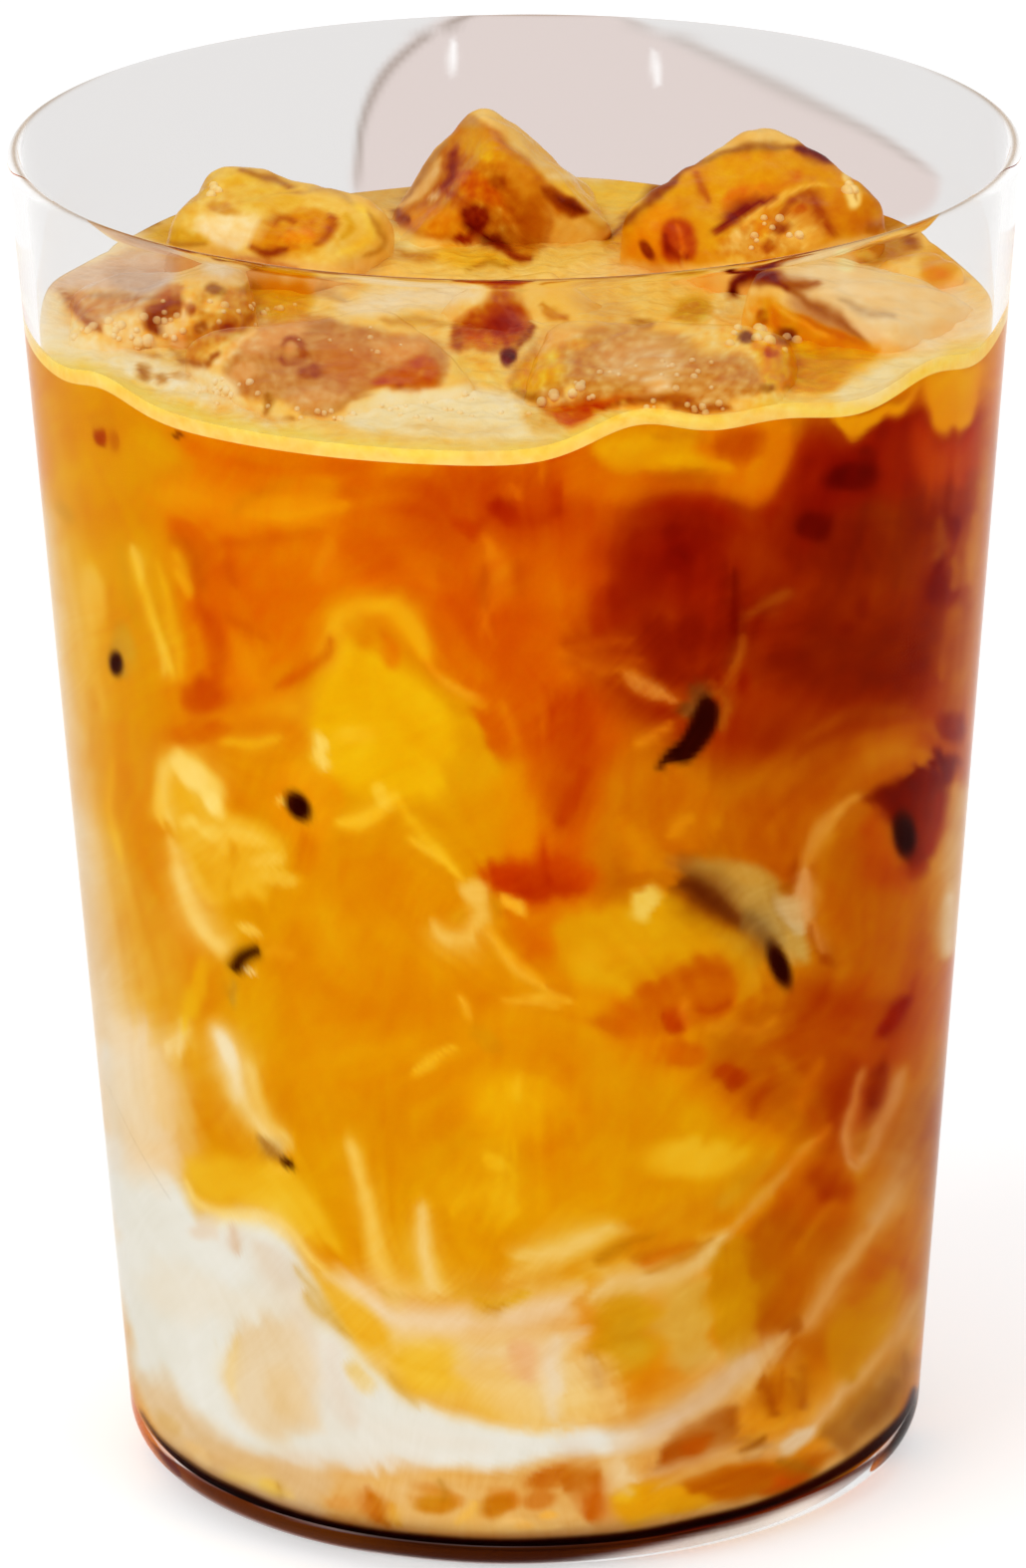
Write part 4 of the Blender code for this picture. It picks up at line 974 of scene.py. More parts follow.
TOPS = (
    # The crema behind and between the ice
    (patch, HONEY, 0.9, 14, 350, 205, 420, 235, 560, 180, 650, 178, 640, 262, 400, 275),
    (patch, (248, 198, 66), 0.9, 8, 560, 186, 610, 182, 650, 190, 630, 214, 590, 206),
    (streak, PALE_FROTH, 0.8, 10, 545, 178, 590, 175, 655, 172),
    (streak, (224, 164, 50), 0.8, 8, 580, 216, 602, 228, 618, 222),
    (patch, (251, 214, 114), 0.95, 5, 396, 236, 416, 238, 442, 246, 428, 251, 405, 250),
    (streak, (204, 130, 20), 0.9, 11, 398, 254, 424, 257, 446, 256),
    (patch, (240, 178, 38), 0.9, 6, 446, 248, 470, 248, 500, 256, 522, 264, 470, 268, 440, 262),
    (streak, (188, 118, 16), 0.85, 7, 466, 268, 490, 267, 514, 268),
    (patch, FROTH, 0.9, 14, 22, 262, 60, 242, 112, 235, 132, 250, 60, 300, 90, 345, 60, 362, 28, 320),
    (streak, (226, 200, 156), 0.7, 16, 40, 270, 36, 300, 44, 330),
    (patch, (228, 182, 116), 0.9, 9, 118, 262, 180, 262, 260, 270, 345, 280, 345, 292, 230, 284,
     150, 276),
    (spot, (226, 194, 150), 0.9, (26, 8, 4), 222, 269),
    (streak, (208, 136, 70), 0.8, 6, 232, 262, 270, 264, 304, 268),
    (streak, (244, 220, 178), 0.8, 6, 90, 242, 130, 246, 165, 252),
    (streak, (212, 158, 92), 0.8, 6, 118, 252, 150, 262, 190, 262),
    # The block at the back left
    (patch, HONEY, 1.0, 6, 138, 238, 150, 204, 180, 173, 204, 158, 226, 161, 242, 171, 292, 178,
     346, 198, 384, 244, 350, 262, 250, 258, 162, 246),
    (patch, (222, 164, 34), 0.9, 6, 152, 202, 184, 178, 204, 172, 210, 184, 192, 204, 166, 214),
    (patch, (234, 184, 58), 0.85, 8, 226, 180, 262, 177, 294, 186, 302, 206, 262, 212, 234, 200),
    (patch, PALE_FROTH, 0.95, 8, 198, 222, 224, 212, 256, 216, 264, 238, 244, 250, 216, 250, 206, 242),
    (patch, (236, 202, 146), 0.8, 8, 112, 242, 140, 215, 168, 215, 160, 236, 150, 246),
    (streak, (190, 134, 62), 0.95, 9, 146, 208, 165, 189, 188, 168, 208, 159, 224, 161, 238, 171),
    (streak, (182, 118, 36), 0.95, 10, 238, 172, 262, 176, 284, 180, 300, 192),
    (streak, (212, 164, 88), 0.85, 7, 298, 190, 324, 190, 346, 200, 364, 214),
    (spot, (212, 144, 42), 0.8, (17, 6, 8), 224, 208),
    (patch, (224, 168, 40), 0.95, 5, 150, 234, 168, 226, 186, 228, 209, 244, 182, 246, 158, 241),
    (streak, (196, 136, 44), 0.9, 6, 158, 241, 182, 245, 208, 246),
    (spot, (176, 112, 32), 0.9, (8, 6, 60), 151, 223),
    (patch, (222, 140, 14), 0.95, 6, 256, 242, 266, 220, 288, 212, 320, 212, 336, 226, 330, 242,
     310, 254, 276, 257, 258, 252),
    (streak, (158, 68, 6), 0.95, 12, 254, 247, 268, 254, 290, 252),
    (streak, (190, 104, 14), 0.9, 9, 264, 238, 270, 224, 284, 219, 296, 226),
    (streak, (186, 94, 10), 0.9, 9, 330, 214, 335, 228, 324, 242, 312, 247),
    (spot, (238, 148, 14), 0.9, (17, 8, -6), 300, 238),
    (streak, (248, 204, 72), 0.95, 16, 336, 256, 358, 250, 372, 234, 368, 214, 348, 205),
    (streak, (224, 166, 34), 0.85, 9, 342, 242, 350, 228, 344, 212),
    (streak, (204, 144, 48), 0.85, 7, 366, 208, 382, 232, 386, 246, 366, 262),
    # The block at the back, in the middle
    (patch, (206, 126, 24), 1.0, 5, 396, 218, 410, 200, 430, 166, 446, 140, 464, 117, 482, 121, 510, 140,
     545, 178, 592, 214, 560, 216, 550, 208, 549, 240, 532, 259, 508, 257, 478, 242, 440, 241, 410, 230),
    (spot, (208, 152, 84), 0.85, (15, 8, 10), 468, 123),
    (patch, (224, 154, 12), 0.95, 7, 458, 134, 480, 130, 502, 146, 508, 164, 486, 166, 464, 154),
    (patch, (220, 148, 34), 0.9, 7, 502, 152, 522, 162, 540, 188, 530, 202, 514, 182, 500, 168),
    (patch, (236, 188, 114), 0.95, 5, 400, 206, 424, 176, 442, 158, 439, 180, 426, 196, 410, 207),
    (streak, (192, 136, 76), 0.9, 6, 396, 208, 414, 188, 432, 164, 447, 140),
    (streak, (168, 70, 6), 0.95, 16, 453, 146, 457, 164, 449, 180, 436, 193),
    (streak, (148, 50, 6), 0.8, 9, 452, 150, 452, 170, 444, 184),
    (streak, (184, 86, 12), 0.9, 9, 436, 190, 450, 193, 464, 198, 474, 207),
    (patch, (214, 114, 6), 0.95, 7, 460, 172, 482, 172, 500, 190, 506, 208, 480, 202, 462, 190),
    (spot, (176, 88, 8), 0.85, (9, 7, 50), 500, 184),
    (patch, (230, 150, 22), 0.95, 6, 414, 216, 440, 207, 458, 214, 464, 230, 440, 236, 420, 229),
    (streak, (148, 62, 12), 0.95, 12, 398, 210, 404, 220, 418, 222),
    (spot, (232, 184, 124), 0.85, (6, 4, 0), 436, 197),
    (patch, (134, 34, 3), 1.0, 4, 463, 208, 480, 206, 491, 218, 485, 234, 477, 237, 466, 222),
    (spot, (154, 48, 4), 0.95, (10, 6, 0), 466, 239),
    (streak, (126, 28, 2), 1.0, 11, 474, 234, 490, 242, 504, 248, 518, 257),
    (streak, (150, 54, 4), 0.95, 9, 506, 250, 520, 258, 536, 257),
    (patch, (196, 108, 12), 0.9, 7, 506, 200, 530, 204, 546, 224, 540, 246, 524, 248, 510, 230),
    (streak, (222, 142, 34), 0.8, 9, 496, 206, 508, 220, 524, 238),
    (streak, (210, 138, 44), 0.85, 7, 548, 200, 552, 225, 545, 252),
    (patch, (158, 70, 8), 0.95, 4, 546, 188, 565, 194, 592, 213, 572, 217, 553, 204),
    (streak, (118, 38, 6), 0.9, 8, 558, 198, 574, 207, 588, 214),
    # The block at the back right
    (patch, (225, 152, 18), 1.0, 5, 606, 243, 650, 200, 690, 168, 740, 148, 800, 145, 842, 158, 872, 180,
     908, 222, 880, 232, 820, 246, 780, 262, 700, 264, 640, 262, 622, 250),
    (patch, (230, 160, 10), 0.9, 10, 706, 172, 760, 156, 796, 168, 780, 190, 730, 204, 704, 196),
    (streak, (220, 122, 8), 0.9, 16, 722, 214, 752, 196, 790, 182, 806, 168),
    (patch, (234, 148, 12), 0.9, 8, 622, 256, 640, 226, 664, 202, 682, 214, 668, 245, 646, 262),
    (patch, (214, 128, 12), 0.9, 9, 820, 200, 846, 192, 880, 206, 872, 228, 840, 233),
    (streak, (168, 96, 24), 0.95, 9, 606, 244, 630, 222, 655, 197, 690, 168, 716, 158),
    (streak, (176, 114, 46), 0.95, 8, 700, 164, 732, 151, 770, 146, 806, 148),
    (streak, (166, 98, 28), 0.95, 9, 836, 160, 862, 174, 884, 196, 908, 223),
    (streak, (118, 30, 4), 1.0, 13, 796, 148, 818, 154, 842, 162),
    (streak, (148, 66, 8), 0.9, 8, 648, 204, 664, 190, 680, 180),
    (streak, (196, 100, 8), 0.9, 9, 694, 172, 700, 190, 712, 204),
    (streak, (128, 22, 3), 1.0, 15, 714, 236, 735, 220, 760, 206, 784, 194),
    (streak, (228, 122, 8), 0.8, 8, 724, 206, 748, 192, 770, 184),
    (spot, (146, 50, 6), 0.95, (10, 7, 70), 648, 250),
    (patch, (192, 76, 4), 0.95, 5, 664, 236, 672, 222, 690, 222, 701, 236, 695, 258, 668, 259),
    (streak, (156, 46, 4), 0.9, 8, 667, 232, 671, 250, 692, 258),
    (streak, (226, 120, 14), 0.8, 5, 682, 226, 684, 244, 680, 256),
    (patch, (222, 150, 52), 0.9, 7, 718, 256, 736, 232, 770, 214, 800, 204, 832, 230, 800, 252,
     760, 262),
    (spot, (242, 194, 104), 0.85, (8, 6, 70), 738, 241),
    (spot, (230, 150, 20), 0.85, (12, 8, 80), 764, 230),
    (spot, (162, 74, 10), 0.9, (11, 6, 10), 787, 230),
    (spot, (188, 100, 14), 0.85, (8, 7, 0), 773, 246),
    (spot, (238, 180, 76), 0.9, (19, 12, 0), 807, 239),
    (streak, (176, 80, 12), 0.95, 15, 783, 221, 794, 202, 812, 199, 824, 216, 842, 240),
    (spot, (202, 98, 10), 0.9, (10, 6, 10), 804, 211),
    (streak, (242, 182, 76), 0.85, 6, 738, 236, 762, 214, 786, 195, 806, 188, 836, 190),
    # Painted highlights on the block, the first with a darker middle
    (spot, (250, 216, 132), 1.0, (12, 9, 80), 858, 198),
    (spot, (214, 150, 54), 0.8, (6, 2, 80), 861, 197),
    (spot, (248, 208, 124), 1.0, (7, 5, 80), 851, 178),
    (patch, (194, 118, 28), 0.9, 5, 876, 222, 906, 221, 890, 231, 872, 234),
    # Froth at the right and the block beyond it
    (patch, (233, 193, 132), 0.95, 12, 786, 272, 840, 260, 900, 278, 962, 284, 990, 322, 962, 346,
     900, 352, 840, 332, 800, 300),
    (patch, (222, 158, 48), 0.9, 8, 922, 252, 948, 244, 966, 264, 946, 286, 924, 276),
    (spot, (224, 142, 36), 0.8, (14, 8, 0), 938, 273),
    (patch, (210, 144, 42), 0.9, 6, 854, 251, 890, 240, 914, 236, 922, 250, 900, 262, 870, 268),
    (spot, (176, 102, 22), 0.9, (9, 6, 20), 916, 243),
    # Two painted highlights
    (spot, (253, 216, 106), 1.0, (12, 4, 3), 866, 259),
    (spot, (249, 222, 154), 0.95, (9, 8, 40), 848, 266),
    (streak, (240, 206, 148), 0.8, 12, 880, 340, 930, 342, 975, 335),
    # The block at the right
    (patch, (206, 152, 92), 0.9, 9, 792, 296, 830, 306, 868, 345, 836, 338, 806, 318),
    (streak, (180, 112, 48), 0.9, 12, 780, 280, 808, 298, 840, 320, 874, 348),
    (streak, (204, 162, 108), 0.8, 10, 838, 298, 868, 312, 900, 318),
    (streak, (238, 202, 146), 0.8, 8, 820, 292, 860, 290, 905, 296),
    (patch, (227, 153, 22), 1.0, 6, 744, 312, 768, 298, 796, 312, 840, 335, 882, 352, 856, 373, 830, 394,
     790, 397, 768, 382, 758, 356, 744, 336),
    (patch, (214, 146, 22), 0.8, 10, 780, 356, 830, 350, 856, 366, 820, 388, 784, 386),
    (streak, (214, 128, 10), 0.9, 9, 796, 312, 834, 334, 876, 350),
    (streak, (240, 176, 60), 0.8, 6, 770, 300, 800, 322, 836, 342),
    (patch, (238, 184, 84), 0.9, 7, 722, 352, 728, 316, 748, 300, 766, 310, 752, 330, 742, 352),
    (streak, (138, 50, 8), 1.0, 15, 736, 302, 742, 286, 760, 277, 780, 281, 794, 292),
    (streak, (174, 98, 32), 0.9, 11, 776, 276, 800, 285, 828, 281),
    (spot, (198, 128, 28), 0.8, (9, 6, 70), 765, 318),
    (spot, (144, 80, 16), 0.95, (9, 7, 0), 748, 337),
    (spot, (251, 208, 122), 0.95, (9, 9, 0), 767, 336),
    (spot, (162, 86, 14), 0.95, (11, 9, 0), 787, 338),
    (spot, (198, 108, 14), 0.85, (8, 5, 20), 773, 353),
    (spot, (178, 114, 28), 0.9, (10, 7, 10), 770, 391),
    (spot, (196, 126, 28), 0.85, (6, 5, 80), 791, 395),
    # The pale middle
    (patch, (240, 206, 150), 0.95, 8, 340, 304, 380, 290, 440, 287, 486, 292, 470, 305, 420, 311,
     370, 316, 345, 314),
    (streak, (208, 160, 100), 0.8, 10, 302, 302, 324, 294, 352, 304),
    (streak, (214, 152, 54), 0.85, 11, 376, 320, 414, 323, 456, 326),
    (spot, (196, 136, 46), 0.85, (18, 6, 6), 366, 336),
    (patch, (236, 184, 84), 0.95, 10, 545, 302, 600, 286, 680, 284, 716, 292, 700, 330, 640, 336,
     590, 326, 560, 320),
    (patch, (221, 164, 78), 0.8, 10, 572, 300, 620, 300, 640, 318, 600, 325),
    (patch, (206, 138, 16), 0.9, 7, 676, 318, 682, 302, 700, 298, 714, 308, 704, 324),
    (spot, (194, 128, 38), 0.85, (11, 6, 0), 645, 324),
    (patch, (190, 94, 10), 0.95, 7, 452, 348, 460, 326, 480, 310, 498, 296, 520, 298, 532, 320, 520, 342,
     500, 349, 476, 352),
    (patch, (170, 66, 4), 0.9, 6, 486, 330, 496, 314, 516, 312, 520, 328, 504, 338),
    (spot, (214, 122, 14), 0.85, (16, 8, -10), 484, 342),
    (spot, (178, 92, 12), 0.85, (14, 6, 80), 460, 340),
    (spot, (216, 164, 74), 0.85, (10, 5, 0), 521, 291),
    (streak, (164, 82, 12), 0.9, 10, 538, 322, 524, 338, 514, 354),
    (spot, (112, 32, 6), 1.0, (10, 8, 60), 510, 356),
    (streak, (202, 124, 14), 0.9, 9, 544, 304, 554, 315, 570, 320),
    (patch, (247, 200, 92), 0.95, 6, 452, 360, 480, 355, 506, 368, 516, 386, 480, 386, 455, 376),
    (streak, (226, 160, 50), 0.7, 8, 466, 358, 486, 364, 498, 376),
    # The block in front on the left
    (patch, ROSE_TAN, 1.0, 7, 222, 374, 236, 346, 262, 325, 300, 314, 345, 325, 400, 336, 446, 350,
     444, 386, 412, 392, 372, 392, 346, 408, 310, 413, 280, 400, 238, 396),
    (patch, (228, 166, 94), 0.85, 9, 238, 348, 262, 326, 302, 318, 304, 336, 264, 352),
    (streak, (198, 136, 66), 0.85, 9, 308, 332, 330, 326, 356, 328),
    (patch, (204, 124, 50), 0.75, 12, 330, 345, 372, 350, 376, 380, 340, 386, 322, 366),
    (patch, (226, 160, 86), 0.8, 10, 376, 342, 430, 344, 420, 362, 390, 366),
    (patch, (202, 106, 14), 0.95, 7, 370, 386, 392, 372, 424, 358, 438, 366, 437, 390, 404, 394),
    (streak, (176, 86, 20), 0.9, 9, 398, 386, 412, 393, 434, 389),
    (streak, (174, 86, 22), 0.9, 8, 279, 350, 288, 340, 302, 343, 308, 354, 298, 364, 284, 362,
     279, 352),
    (spot, (222, 154, 84), 0.85, (7, 5, 0), 292, 350),
    (spot, (178, 94, 26), 0.9, (12, 9, 0), 314, 373),
    (spot, (224, 164, 96), 0.8, (16, 10, -30), 246, 372),
    (patch, (224, 166, 96), 0.75, 8, 290, 398, 320, 390, 350, 396, 330, 408, 304, 410),
    (streak, (178, 116, 44), 0.9, 11, 240, 412, 268, 420, 300, 421),
    (streak, (184, 118, 40), 0.9, 10, 266, 392, 270, 404, 264, 414),
    (streak, (186, 124, 56), 0.85, 10, 212, 396, 216, 408, 232, 412),
    (streak, (208, 148, 74), 0.85, 7, 300, 414, 326, 413, 350, 404, 372, 393),
    # The block at the left
    (patch, PEACH, 1.0, 9, 40, 286, 80, 262, 112, 250, 160, 256, 180, 278, 150, 297, 92, 294, 56, 294),
    (patch, (206, 170, 136), 0.8, 8, 108, 270, 150, 270, 168, 290, 122, 294),
    (patch, (240, 212, 160), 0.85, 7, 74, 262, 98, 240, 128, 240, 106, 257),
    (patch, (213, 152, 86), 0.95, 7, 58, 296, 100, 293, 142, 298, 152, 320, 120, 318, 106, 332, 86, 324),
    (patch, (236, 196, 126), 0.85, 8, 104, 318, 140, 312, 152, 326, 132, 344, 108, 340),
    (streak, (192, 126, 62), 0.9, 8, 52, 289, 72, 306, 88, 320, 106, 333),
    (streak, (194, 142, 88), 0.8, 8, 86, 296, 120, 298, 150, 300, 170, 296),
    (patch, (176, 96, 24), 1.0, 5, 145, 314, 158, 300, 182, 296, 182, 312, 168, 318, 161, 335, 148, 331),
    (spot, (156, 76, 14), 0.9, (10, 7, 80), 156, 326),
    (streak, (194, 112, 44), 0.8, 9, 156, 302, 174, 292, 186, 288),
    (spot, (246, 210, 146), 0.95, (9, 6, 70), 171, 327),
    (streak, (242, 194, 124), 0.9, 8, 182, 326, 186, 310, 194, 296),
    (spot, (186, 108, 42), 0.9, (8, 5, 80), 192, 310),
    (streak, (204, 148, 80), 0.85, 7, 92, 345, 122, 353, 150, 358, 168, 356),
    (spot, (248, 216, 152), 1.0, (7, 6, 0), 108, 329),
    (spot, (248, 214, 152), 1.0, (8, 7, 0), 134, 332),
    (spot, (246, 208, 144), 0.9, (7, 6, 0), 148, 344),
    # Golden lumps between them
    (patch, (214, 148, 54), 0.95, 7, 198, 298, 214, 285, 246, 288, 264, 300, 256, 322, 240, 340,
     214, 350, 204, 368, 180, 352, 170, 340, 196, 322),
    (patch, (221, 153, 28), 0.95, 7, 258, 286, 300, 285, 312, 308, 286, 322, 260, 312),
    (spot, (238, 182, 88), 0.9, (12, 9, 0), 214, 306),
    (spot, (172, 108, 32), 0.9, (10, 6, 10), 216, 288),
    (spot, (198, 136, 40), 0.85, (13, 5, 0), 250, 289),
    (streak, (180, 98, 20), 0.95, 12, 214, 330, 228, 328, 240, 320),
    (spot, (174, 102, 38), 0.85, (8, 6, 0), 203, 328),
    (streak, (196, 124, 28), 0.85, 8, 236, 338, 250, 318, 258, 302),
    (streak, (184, 114, 44), 0.9, 9, 168, 346, 186, 362, 206, 368, 222, 352),
    (spot, (236, 182, 108), 0.8, (8, 10, 0), 180, 338),
    (streak, (238, 186, 110), 0.85, 8, 212, 372, 236, 348, 258, 328),
    # The block in front on the right
    (patch, BISCUIT, 1.0, 7, 510, 384, 526, 356, 546, 332, 600, 326, 660, 332, 722, 346, 762, 370,
     758, 404, 700, 414, 640, 408, 560, 416, 530, 402),
    (patch, (228, 168, 40), 0.95, 7, 514, 388, 530, 362, 556, 350, 568, 366, 556, 386, 530, 396),
    (patch, (237, 182, 96), 0.85, 7, 534, 348, 556, 328, 584, 332, 562, 346, 546, 356),
    (spot, (226, 158, 48), 0.8, (14, 7, 0), 578, 346),
    (patch, (224, 172, 104), 0.8, 12, 604, 350, 650, 340, 690, 366, 660, 384, 612, 376),
    (patch, (236, 186, 92), 0.8, 9, 694, 334, 724, 338, 740, 352, 708, 356),
    (patch, (214, 154, 76), 0.85, 9, 640, 384, 682, 376, 736, 384, 726, 402, 660, 402),
    (spot, (236, 190, 124), 0.85, (14, 8, 0), 660, 386),
    (streak, (190, 130, 36), 0.9, 9, 512, 388, 530, 398, 548, 403),
    (spot, (242, 202, 112), 0.95, (9, 8, 80), 572, 393),
    (spot, (240, 198, 104), 0.9, (6, 5, 0), 557, 402),
    (patch, (205, 100, 8), 1.0, 6, 550, 410, 576, 404, 612, 400, 642, 402, 604, 416, 580, 431, 560, 425),
    (streak, (174, 96, 20), 0.95, 10, 600, 412, 630, 404, 662, 402, 700, 409, 750, 404),
    (streak, (190, 112, 26), 0.85, 8, 664, 404, 680, 398, 700, 404),
    # Foam at the front, and the crema where it meets the glass
    (patch, (241, 211, 150), 1.0, 6, 346, 418, 372, 397, 420, 390, 480, 391, 520, 398, 546, 420,
     566, 434, 530, 442, 480, 440, 420, 436, 366, 432),
    (streak, (249, 221, 164), 0.9, 14, 368, 402, 430, 396, 500, 400),
    (streak, (230, 190, 118), 0.85, 12, 400, 424, 460, 430, 520, 432),
    (patch, (226, 172, 76), 0.85, 7, 520, 408, 546, 412, 566, 432, 536, 436),
    (patch, (243, 214, 156), 1.0, 7, 44, 336, 100, 342, 160, 364, 204, 372, 238, 386, 228, 404, 166, 398,
     120, 380, 58, 358),
    (spot, (184, 120, 44), 0.95, (10, 6, 80), 146, 378),
    (spot, (194, 128, 48), 0.9, (7, 6, 0), 166, 382),
    (spot, (214, 160, 84), 0.8, (8, 5, 0), 182, 377),
    (spot, (250, 222, 166), 1.0, (7, 6, 0), 216, 384),
    (spot, (252, 222, 150), 1.0, (7, 7, 0), 240, 405),
    (streak, (204, 150, 78), 0.85, 7, 140, 366, 150, 372, 154, 388),
    (patch, (241, 209, 142), 1.0, 6, 834, 396, 860, 379, 892, 364, 930, 354, 962, 349, 932, 376,
     900, 396, 860, 409, 840, 408),
    (patch, (244, 197, 104), 0.9, 6, 734, 400, 770, 397, 830, 396, 842, 408, 780, 412, 740, 409),
    (patch, (236, 194, 120), 0.85, 7, 206, 404, 236, 402, 300, 424, 300, 434, 230, 420),
    # The crema where it meets the glass: a bright yellow line, partly the crema's own colour and partly a
    # painted highlight
    (streak, (254, 208, 92), 1.0, (18, 17, 17), 8, 348, 60, 364, 104, 376, 132, 391, 152, 402, 184, 412,
     222, 422, 262, 432, 302, 438, 352, 446, 402, 452, 452, 454, 502, 454),
    (streak, (254, 206, 92), 1.0, (17, 16, 14), 482, 454, 545, 450, 580, 438, 602, 427, 626, 417,
     652, 414, 682, 419, 720, 420, 748, 414),
    (streak, (254, 206, 96), 1.0, (14, 16, 16), 728, 417, 764, 407, 802, 408, 842, 413, 880, 409,
     902, 396, 922, 378, 952, 360, 1010, 338),
)

# How frothy the surface is, from 0 to 1, as three equal numbers
FROTHY = (
    (patch, (1, 1, 1), 1.0, 14, 60, 300, 140, 290, 210, 284, 262, 300, 250, 345, 210, 390, 300, 430,
     180, 410, 80, 345),
    (patch, (1, 1, 1), 0.5, 14, 230, 350, 300, 320, 420, 340, 430, 390, 300, 415, 240, 400),
    (patch, (1, 1, 1), 0.5, 12, 450, 350, 470, 300, 530, 295, 540, 330, 520, 390, 450, 380),
    (patch, (1, 1, 1), 1.0, 14, 520, 390, 560, 340, 640, 325, 740, 300, 800, 330, 800, 400, 700, 412,
     560, 425),
    (patch, (1, 1, 1), 0.9, 10, 716, 256, 736, 226, 790, 200, 836, 226, 800, 252, 760, 262),
    (patch, (1, 1, 1), 0.6, 10, 420, 230, 450, 150, 500, 160, 520, 240, 460, 240),
    (patch, (1, 1, 1), 0.5, 10, 190, 200, 230, 180, 330, 205, 340, 250, 260, 256, 190, 240),
    (patch, (1, 1, 1), 0.25, 10, 350, 415, 420, 390, 520, 398, 560, 430, 430, 436),
)

TOPS_GROUND = (238, 190, 100)
TOPS_LIFT = 1.02
WALL_LIFT = 0.05                 # more, against the grey of the glass where it stands in front of them
WALL_CONTRAST = 0.22             # more contrast there, for the same reason, about this colour
WALL_MIDDLE = (222, 166, 96)
RIM_MIDDLE = (515, 144)          # the rim's ellipse in the picture, in pixels
RIM_REACH = (514, 139)
RIM_BLEND = 8                    # how softly the front begins at the rim, in pixels
TOPS_GRID = 1.5                  # the step of this picture and how far down it goes, in pixels
TOPS_DEPTH = 480
TOPS_WANDER = (4, 40, 401)       # how far it wanders and its pitch in pixels, and its seed


def tops_picture(size):
    """The ice and the crema as the camera sees them: a grid of colours from 0 to 255."""
    columns, rows = int(size[0] / TOPS_GRID) + 2, int(TOPS_DEPTH / TOPS_GRID) + 2
    x, y = np.meshgrid(np.arange(columns) * TOPS_GRID, np.arange(rows) * TOPS_GRID)
    moved_x, moved_y = (grid.ravel() for grid in wandering(x, y, *TOPS_WANDER))
    canvas = np.tile(np.array(TOPS_GROUND, float), (x.size, 1))
    paint(canvas, moved_x, moved_y, TOPS)
    frothy = paint(np.zeros((x.size, 3)), moved_x, moved_y, FROTHY)[:, :1].reshape(x.shape)
    tone = 1.0 + 0.14 * fractal(x, y, 26, 3, 421) + (0.08 + 0.34 * frothy) * fractal(x, y, 9, 3, 431)
    across = np.clip(1.0 - ((x - RIM_MIDDLE[0]) / RIM_REACH[0]) ** 2, 0.0, 1.0)
    below_rim = y - RIM_MIDDLE[1] - RIM_REACH[1] * np.sqrt(across)
    in_front = smoothstep(-RIM_BLEND, RIM_BLEND, below_rim).reshape(-1, 1)
    canvas = np.clip(canvas + WALL_CONTRAST * in_front * (canvas - WALL_MIDDLE), 1.0, 255.0)
    lift = TOPS_LIFT + WALL_LIFT * in_front
    lift = np.minimum(lift, 255 / canvas.max(axis=1, keepdims=True))
    canvas = 255 * (lift * canvas / 255) ** tone.reshape(-1, 1)
    return canvas.reshape(rows, columns, 3)


def outer_radius(z):
    """Radius of the tumbler's straight outer wall at height z."""
    return HEEL_RADIUS + (RIM_RADIUS - HEEL_RADIUS) * (z - HEEL_ROUND) / (HEIGHT - HEEL_ROUND)


def inner_radius(z):
    """Radius of the drink at height z, with its rounded heel drawn down into the foot."""
    heel_top = FLOOR - SINK + INNER_HEEL_ROUND
    drop = np.clip(heel_top - z, 0.0, INNER_HEEL_ROUND)
    arc = np.sqrt(INNER_HEEL_ROUND ** 2 - drop ** 2)
    return outer_radius(np.maximum(z, heel_top)) - WALL - INNER_HEEL_ROUND + arc


def crema_top(x, y):
    """Height of the crema: flat in the middle, wavy where it climbs the wall."""
    radius = np.hypot(x, y)
    angle = np.degrees(np.arctan2(y, x))
    climb = np.maximum(0.0, 1.0 - (inner_radius(LEVEL) - radius) / CLIMB)
    height = LEVEL + 0.0 * radius
    for middle, rise, width in WALL_SWELLS:
        off = (angle - middle + 180) % 360 - 180
        height = height + rise * climb ** 2 * np.exp(-(off / width) ** 2)
    return height


def crema_bottom(x, y):
    return crema_top(x, y) - CREMA


def milk_top(x, y):
    """Height of the milk's slanting, gently swelling upper face."""
    front = y + inner_radius(MILK_FRONT)
    swell = MILK_SWELL * np.sin(95 * x + 1.2) * np.cos(80 * y - 0.4)
    return MILK_FRONT + MILK_CURVE * x * x + MILK_SLOPE_X * x + MILK_SLOPE_Y * front + swell


def milk_bottom(x, y):
    return FLOOR - SINK + 0.0 * x


# Materials

class Wire:
    """A socket that can stand in a sum: each operator adds its Math node."""

    def __init__(self, tree, socket):
        self.tree = tree
        self.socket = socket

    def sum(self, operation, first, second):
        node = self.tree.nodes.new("ShaderNodeMath")
        node.operation = operation
        for place, value in zip(node.inputs, (first, second)):
            if isinstance(value, Wire):
                self.tree.links.new(value.socket, place)
            else:
                place.default_value = value
        return Wire(self.tree, node.outputs[0])

    def __add__(self, other):
        return self.sum("ADD", self, other)

    def __radd__(self, other):
        return self.sum("ADD", other, self)

    def __sub__(self, other):
        return self.sum("SUBTRACT", self, other)

    def __rsub__(self, other):
        return self.sum("SUBTRACT", other, self)

    def __mul__(self, other):
        return self.sum("MULTIPLY", self, other)

    def __rmul__(self, other):
        return self.sum("MULTIPLY", other, self)


